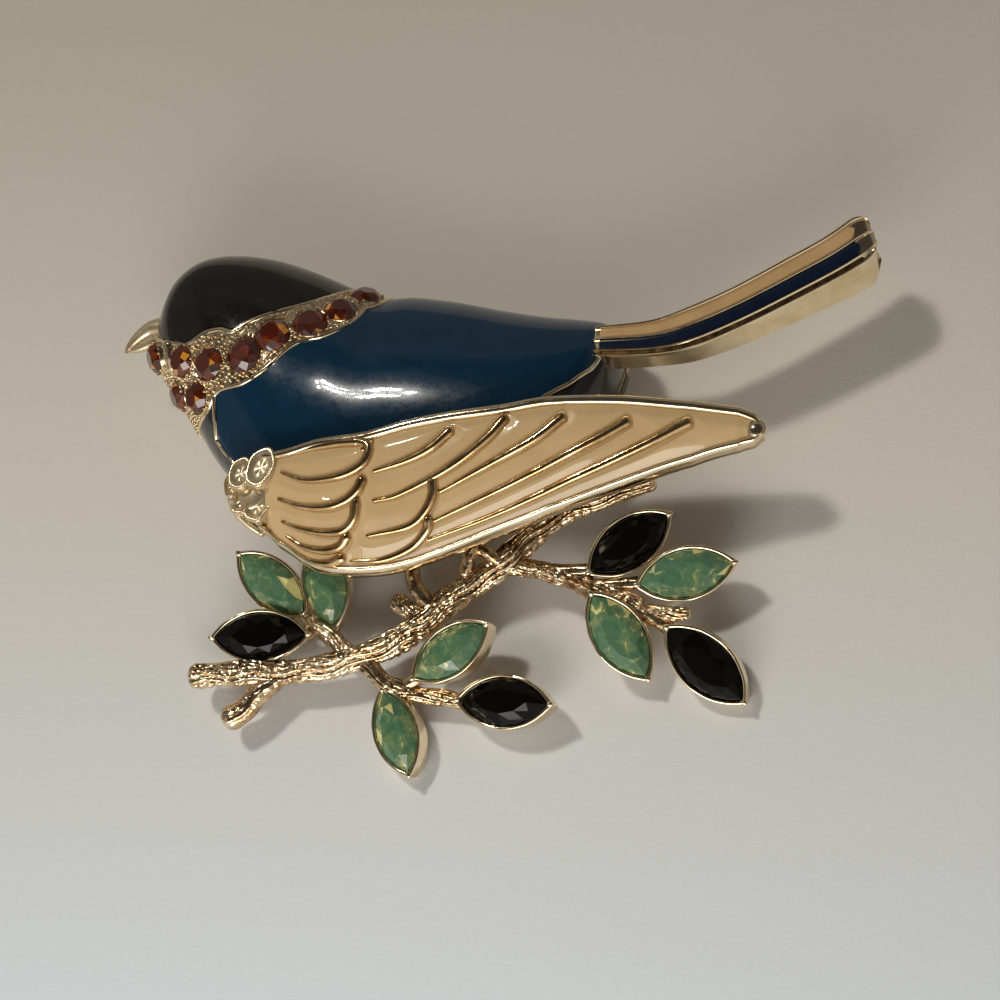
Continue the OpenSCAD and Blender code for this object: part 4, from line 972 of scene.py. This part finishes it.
def petal(piece, at, size, along, scallop):
    """Cast petal with a raised, slightly scalloped edge and a hollow with veins."""
    seat = frame_on(np.asarray(at, float), np.array([0.0, 0.0, 1.0]), np.asarray(along, float))
    turn = full_turn(56)
    edge = 1 + scallop * np.cos(5 * turn + 0.6)
    profile = [(0.90, -0.75), (1.00, -0.30), (1.03, 0.10), (0.99, 0.34), (0.90, 0.44),
               (0.80, 0.36), (0.62, 0.20), (0.42, 0.14), (0.22, 0.15), (0.03, 0.16)]
    rings = []
    for share, high in profile:
        veins = 0.045 * np.cos(3 * turn + 5 * scallop) * math.sin(math.pi * min(1, share / 0.85))
        rings.append(placed(seat, np.column_stack([
            size[0] * share * edge * np.cos(turn), size[1] * share * edge * np.sin(turn),
            high + veins])))
    piece.loft(rings)


def shoulder_flower():
    """Petals that close the wing's shoulder, and the curl below them."""
    piece = Piece()
    piece.ball(wing_at(-0.015, -0.10, -0.95), (1.6, 2.4, 0.6), nu=40, nv=15)
    # middle x, y, height above the wing, half length, half width, turn of the long axis
    petals = [[-18.05, 0.30, 0.10, 2.00, 1.35, 76], [-20.10, -0.15, -0.10, 1.60, 1.15, 84],
              [-18.45, -2.95, 0.00, 1.55, 1.20, 80], [-20.15, -2.45, -0.10, 1.40, 0.95, 98],
              [-21.20, -1.15, -0.40, 1.25, 0.60, 100]]
    for k, (x, y, lift, long, wide, turn) in enumerate(petals):
        at = wing_at((x - wing_west) / wing_len, (y - wing_mid) / wing_wide, lift)
        a = math.radians(turn)
        petal(piece, at, (long, wide), (math.cos(a), math.sin(a), 0), 0.03 + 0.04 * (k in (2, 3)))
    curl = smooth([[-21.0, -2.3, 0.45], [-20.75, -3.15, 0.42], [-20.1, -3.85, 0.40],
                   [-19.3, -4.4, 0.40], [-18.45, -4.85, 0.36]], 0.15)
    path = wing_at((curl[:, 0] - wing_west) / wing_len, (curl[:, 1] - wing_mid) / wing_wide, 0.0)
    piece.tube(path, curl[:, 2], 14, ends=5)
    piece.cast("shoulder_flower", SATIN, "wing_casting", sharp=80)


# ------------------------------------------------------------------ tail
def tail_edges(t):
    """The tail's upper and lower edge and its depth, at rows of its table."""
    r = through(TAIL, t)
    face = np.full(r.shape[:-1], tail_top)
    upper, lower = (np.stack([tail_west + r[..., c] * tail_len,
                              tail_mid + r[..., c + 1] * tail_wide, face], -1) for c in (0, 2))
    return upper, lower, r[..., 4]


# The tail's face from its upper to its lower edge: share across, height
TAIL_FACE = [
    [0.000, -0.45], [0.000, -0.20], [0.015, -0.04], [0.045, 0.06], [0.075, 0.03],
    [0.100, -0.10], [0.115, -0.28], [0.395, -0.28], [0.410, -0.12], [0.430, 0.02],
    [0.450, 0.02], [0.470, -0.10], [0.485, -0.28], [0.755, -0.28], [0.770, -0.12],
    [0.790, 0.02], [0.810, 0.00], [0.835, -0.16], [0.885, -0.34], [0.940, -0.26],
    [0.965, -0.04], [0.985, 0.00], [1.000, -0.10], [1.010, -0.45]]


TAIL_STOP = len(TAIL) - 1 - 0.37      # the row where the tail begins to round off
tail_turn = 1.35                      # and how far it goes on from there
drawn_in, drawn_thin, end_fall = 0.42, 0.25, 0.45


def tail_casting():
    """Channelled bar whose end has small lobes and is drawn in and down."""
    piece = Piece()
    face = np.asarray(TAIL_FACE)
    rings = []
    for t in np.linspace(0, TAIL_STOP, 110):
        a, b, deep = tail_edges(np.array(t))
        rings.append(tail_ring(a, b, face, deep * tail_deep, 0.05 + 0.15 * t / TAIL_STOP))
    way = unit(np.mean(rings[-1] - rings[-2], axis=0))
    middle = (a + b) / 2
    s = np.concatenate([face[:, 0], np.linspace(1, 0, 9)])
    lobes = tail_turn + 0.8 * tail_lobe * np.abs(np.sin(3 * math.pi * s)) ** 0.7
    last = rings[-1]
    for f in np.linspace(0, math.pi / 2, 12)[1:]:
        gone = 1 - math.cos(f)
        kept = 1 - drawn_in * gone
        points = middle + (last - middle) * [kept, kept, 1 - drawn_thin * gone]
        points[:, 2] -= end_fall * gone
        rings.append(points + math.sin(f) * lobes[:, None] * way)
    piece.loft(rings)
    piece.cast("tail_casting", GOLD, sharp=35)


def tail_ring(a, b, face, deep, flare):
    """The tail's section, its lower side leaning out."""
    s = np.concatenate([face[:, 0], np.linspace(1 + flare, 0, 9)])
    h = np.concatenate([face[:, 1], np.full(9, -0.9 * deep - 0.1)])
    points = a + s[:, None] * (b - a)
    points[:, 2] += h
    return points


def tail_stripe(name, upper, lower, material, slot, node, sink=0.0):
    """Filling of a channel between two shares of the tail's width, rounded at its far end."""
    nu, nv = 150, 16
    a, b, _ = tail_edges(np.linspace(0.10, TAIL_STOP + 0.06, nu))
    left, round_over = 24.0 * np.linspace(1, 0, nu), 0.9       # millimetres left to its end
    squeeze = np.sqrt(np.clip(1 - (1 - np.minimum(1, left / round_over)) ** 2, 0.02, 1))
    side = np.linspace(-1, 1, nv)[None, :]
    share = (upper + lower) / 2 + side * squeeze[:, None] * (lower - upper) / 2
    top = a[:, None] + share[..., None] * (b - a)[:, None]
    low = top - [0, 0, 0.42]
    top[..., 2] += -0.05 - sink - 0.12 * ramp(np.abs(side), 0.55, 1.0)
    piece = Piece()
    piece.slab(top, low)
    piece.make(name, material, slot, node)


# ------------------------------------------------------------------ branch, legs and leaf cups
def bark(seed, deep):
    """Broken lines along a branch, with ripples and knots between them."""
    ridges = lumps(seed, 10, 2.5, 9.0)
    pits, knots = lumps(seed + 50, 14, 0.5, 1.8), lumps(seed + 90, 10, 0.5, 1.2)
    rng = np.random.default_rng(seed)
    count = int(rng.integers(10, 14))
    sway = rng.uniform(0, 2 * math.pi)

    def value(s, t):
        lines = np.abs(np.sin(count / 2 * t + sway + 0.9 * math.sin(s * 1.3) + 2.2 * ridges(s, t)))
        broken = 0.5 + 0.5 * np.tanh(4 * pits(s, t) + 1.4)
        return (1 - 0.9 * deep + 1.9 * deep * broken * lines ** 0.6 + 0.9 * deep * ridges(s, t)
                + 0.7 * deep * np.abs(knots(s, t)) ** 0.7)
    return value


def branch_tube(piece, rows, d, seed, deep, sides=44):
    rows = np.asarray(rows, float)
    path = smooth(np.column_stack([branch_at(rows), rows[:, 3] * d / 2]), 0.12)
    piece.tube(path[:, :3], path[:, 3], sides, ends=5, shape=bark(seed, deep))


def branch():
    """Stem, twigs and the leaves' stalks, and the legs on top of them."""
    piece = Piece()
    branch_tube(piece, STEM, stem_d, 21, 0.17, 64)
    branch_tube(piece, STUB, stem_d, 22, 0.08)
    for k, rows in enumerate((LEFT_TWIG, MIDDLE_TWIG, RIGHT_TWIG, KNOB, SPUR)):
        branch_tube(piece, rows, twig_d, 30 + k, 0.16)
    for k, root in enumerate(LEAF_ROOTS):
        up, along, middle = leaf_axes(k)
        stalk = LEAVES[k][8] * LEAVES[k][6] * leaf_len * along
        path = np.vstack([branch_at(root), middle + 0.48 * stalk - 0.9 * up,
                          middle + 0.2 * stalk - (cup_deep - 0.4) * up])
        rows = smooth(np.column_stack([path, [0.36 * twig_d, 0.42 * twig_d, 0.4 * twig_d]]), 0.2)
        piece.tube(rows[:, :3], rows[:, 3], 20, ends=4, shape=bark(60 + k, 0.14))
    piece.cast("branch", BARK, sharp=70)
    legs = Piece()
    for k, rows in enumerate(LEGS):
        branch_tube(legs, rows, leg_d, 80 + k, 0.12, 24)
    legs.cast("legs", BARK, sharp=70)


def leaf_axes(k):
    """A leaf's upward and lengthwise direction and its middle."""
    leaf = LEAVES[k]
    lean, to, turn = map(math.radians, (leaf[4], leaf[5], leaf[3]))
    up = np.array([math.sin(lean) * math.cos(to), math.sin(lean) * math.sin(to), math.cos(lean)])
    flat = np.array([math.cos(turn), math.sin(turn), 0])
    along = unit(flat - np.array([0, 0, (flat @ up) / up[2]]))
    return up, along, branch_at(leaf[:3])


# The cups' skin: shares of the stone's length and width, added width, height
CUP = [
    [0.60, 0.55, 0.00, -cup_deep], [0.90, 0.86, 0.00, -cup_deep + 0.02],
    [0.96, 0.95, 0.10, -cup_deep + 0.25], [0.99, 0.98, 0.22, -1.3], [1.0, 1.0, 0.30, -0.7],
    [1.0, 1.0, 0.36, -0.1], [1.0, 1.0, 0.35, 0.06], [1.0, 1.0, 0.28, 0.13],
    [1.0, 1.0, 0.14, 0.13], [1.0, 1.0, 0.05, 0.05], [1.0, 1.0, 0.02, -0.16],
    [0.52, 0.44, 0.05, -leaf_sunk - 0.06]]


def leaves():
    """Leaf-shaped stones in their cups, whose walls lean east below the rim."""
    cups = Piece()
    turn = np.linspace(0, 1, 64, endpoint=False)
    outline = np.array([navette(t) for t in turn])
    for k, leaf in enumerate(LEAVES):
        up, along, middle = leaf_axes(k)
        seat = frame_on(middle, up, along)
        size, wide = leaf[6] * leaf_len, leaf[6] * leaf_wide
        wobble = 1 + 0.012 * lumps(90 + k, 8, 1.5, 5.0)(turn * 20, turn * 2 * math.pi)[:, None]
        lean = (0.24 if k > 2 else 0.05) * np.array([0.97, -0.25, 0])
        skin = []
        for long, broad, more, z in CUP:
            flat = outline * wobble * [size * long + 3 * more, wide * broad + 2 * more]
            skin.append(placed(seat, np.column_stack([flat, np.full(64, z)]))
                        - min(0, z + 0.1) * lean)
        cups.loft(skin)
        for end in (-1, 1):
            tip = placed(seat, [end * (size / 2 + 0.28), 0, 0.10])
            cups.ball(tip, (0.36, 0.26, 0.22), along, up, 12, 8)
        material, slot = (OPAL, "opal_glass") if leaf[7] == 1 else (JET, "jet_glass")
        cut_stone("leaf_stone_%d" % (k + 1), seat, navette, (size, wide), leaf_crown,
                  leaf_sunk, (0.60, 0.52), (0.5, 0.42), material, slot, 120 + k, 0.03, 0.35)
    cups.cast("leaf_cups", GOLD, sharp=45)


# ------------------------------------------------------------------ stage
# Floor colours from behind to the front: painted light, dark and warm behind, pale and cool in
# front
FLOOR_PAINTED_LIGHT = [(0.0, (0.51, 0.47, 0.41)), (0.5, (0.69, 0.66, 0.60)), (1.0, (0.73, 0.80, 0.88))]
SKY = [(0.0, (0.13, 0.12, 0.11)), (0.64, (0.20, 0.19, 0.175)), (0.72, (0.045, 0.042, 0.038)),
       (1.0, (0.04, 0.037, 0.034))]
KEY, WARM = 1.50, (1.0, 0.95, 0.86)
IMAGE_WIDE, FOCAL, FAR = 1000, 1870, 170     # photo and focal length in pixels, distance


def camera():
    """The photograph's view of the brooch."""
    target, away = Vector((2.9, -0.2, 5.0)), Vector((0.325, -0.404, 1.0)).normalized()
    up = away.cross(Vector((1, 0, 0))).normalized()
    turn = Matrix((up.cross(away), up, away)).transposed()
    eye = bpy.data.objects.new("camera", bpy.data.cameras.new("camera"))
    eye.matrix_world = Matrix.Translation((target + FAR * away) * MM) @ turn.to_4x4()
    eye.data.sensor_width = 36
    eye.data.lens = FOCAL * eye.data.sensor_width / IMAGE_WIDE
    eye.data.clip_start = 0.005
    bpy.context.scene.collection.objects.link(eye)
    bpy.context.scene.camera = eye


def floor():
    """Pale floor with painted light in its colour: darker and warmer behind, paler and cooler in
    front.
    """
    half = 700 * MM
    mesh = bpy.data.meshes.new("floor")
    mesh.from_pydata([[-half, -half, 0], [half, -half, 0], [half, half, 0], [-half, half, 0]],
                     [], [[0, 1, 2, 3]])
    material, tree, principled = shader("pale_floor", Roughness=0.75)
    # painted light: the floor's colour grows paler towards the front
    front = remap(tree, axis(tree, "Object", "Y"), 1.0, 0.0, -0.06, 0.06)
    fibre = add_share(tree, noise(tree, 1.0, 6.0, 0.7), 0.10, front)
    tree.links.new(blend(tree, fibre, FLOOR_PAINTED_LIGHT), principled.inputs["Base Color"])
    bump(tree, principled, noise(tree, 0.45, 4.0, 0.6), 0.06, 0.6)
    mesh.materials.append(material)
    ground = bpy.data.objects.new("floor", mesh)
    bpy.context.scene.collection.objects.link(ground)


def room():
    """A dim room: paler at eye level beyond the bird's back than above and in front."""
    world = bpy.data.worlds.new("studio")
    bpy.context.scene.world = world
    world.use_nodes = True
    tree = world.node_tree
    background = tree.nodes["Background"]
    tree.links.new(blend(tree, axis(tree, "Generated", "Z"), SKY), background.inputs["Color"])
    tree.links.new(remap(tree, axis(tree, "Generated", "Y"), 4.0, 1.0, -0.75, -0.35),
                   background.inputs["Strength"])


def area(name, at, size, power, color, mirrored=True):
    """A rectangular lamp that shines on the brooch; an unmirrored one shows in no reflection."""
    light = bpy.data.lights.new(name, "AREA")
    light.shape = "RECTANGLE"
    light.size, light.size_y = size[0] * MM, size[1] * MM
    light.energy = power
    light.color = color
    lamp = bpy.data.objects.new(name, light)
    lamp.location = Vector(at) * MM
    lamp.rotation_euler = (Vector((0, 0, 5)) - Vector(at)).to_track_quat("-Z", "Y").to_euler()
    lamp.visible_glossy = mirrored
    bpy.context.scene.collection.objects.link(lamp)


def lamps():
    """Four small panes for the sparks, a broad glow for soft shadows, and a low window."""
    key = Vector((-0.39, 0.35, 0.85)).normalized() * 600
    across = Vector((0.67, 0.74, 0)).normalized()
    slope = key.normalized().cross(across)
    for i in (-1, 1):
        for j in (-1, 1):
            area("key_%d" % (2 * i + j + 4), key + 13 * i * across + 11 * j * slope, (13, 9),
                 0.45 * KEY / 4, WARM)
    area("glow", key, (120, 90), 0.5 * KEY, WARM, False)
    area("halo", 1.07 * key, (230, 170), 0.022, WARM)
    area("window", (0, -175, 95), (150, 80), 0.17, (1.0, 0.97, 0.91))


for draw in (body_shell, body_enamels, body_lines, collar, beak, wing_casting, wing_ridges,
             wing_enamel, shoulder_flower, tail_casting):
    draw()
tail_stripe("tail_cream_enamel", 0.110, 0.400, CREAM_DEEP, "cream_enamel", "tail_cream_enamel")
tail_stripe("tail_blue_enamel", 0.480, 0.760, NAVY, "teal_enamel", "tail_blue_enamel")
# a dark sheet in the tail's lower groove, which paints the hollow's shade
tail_stripe("tail_groove", 0.825, 0.955, GROOVE_PAINTED_SHADE, "gold", "bird_casting", 0.05)
branch()
leaves()
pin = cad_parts["pin_back"].data
pin.materials.clear()
pin.materials.append(STEEL)
for set_up in (camera, floor, room, lamps):
    set_up()
bpy.context.scene.view_settings.view_transform = "Standard"
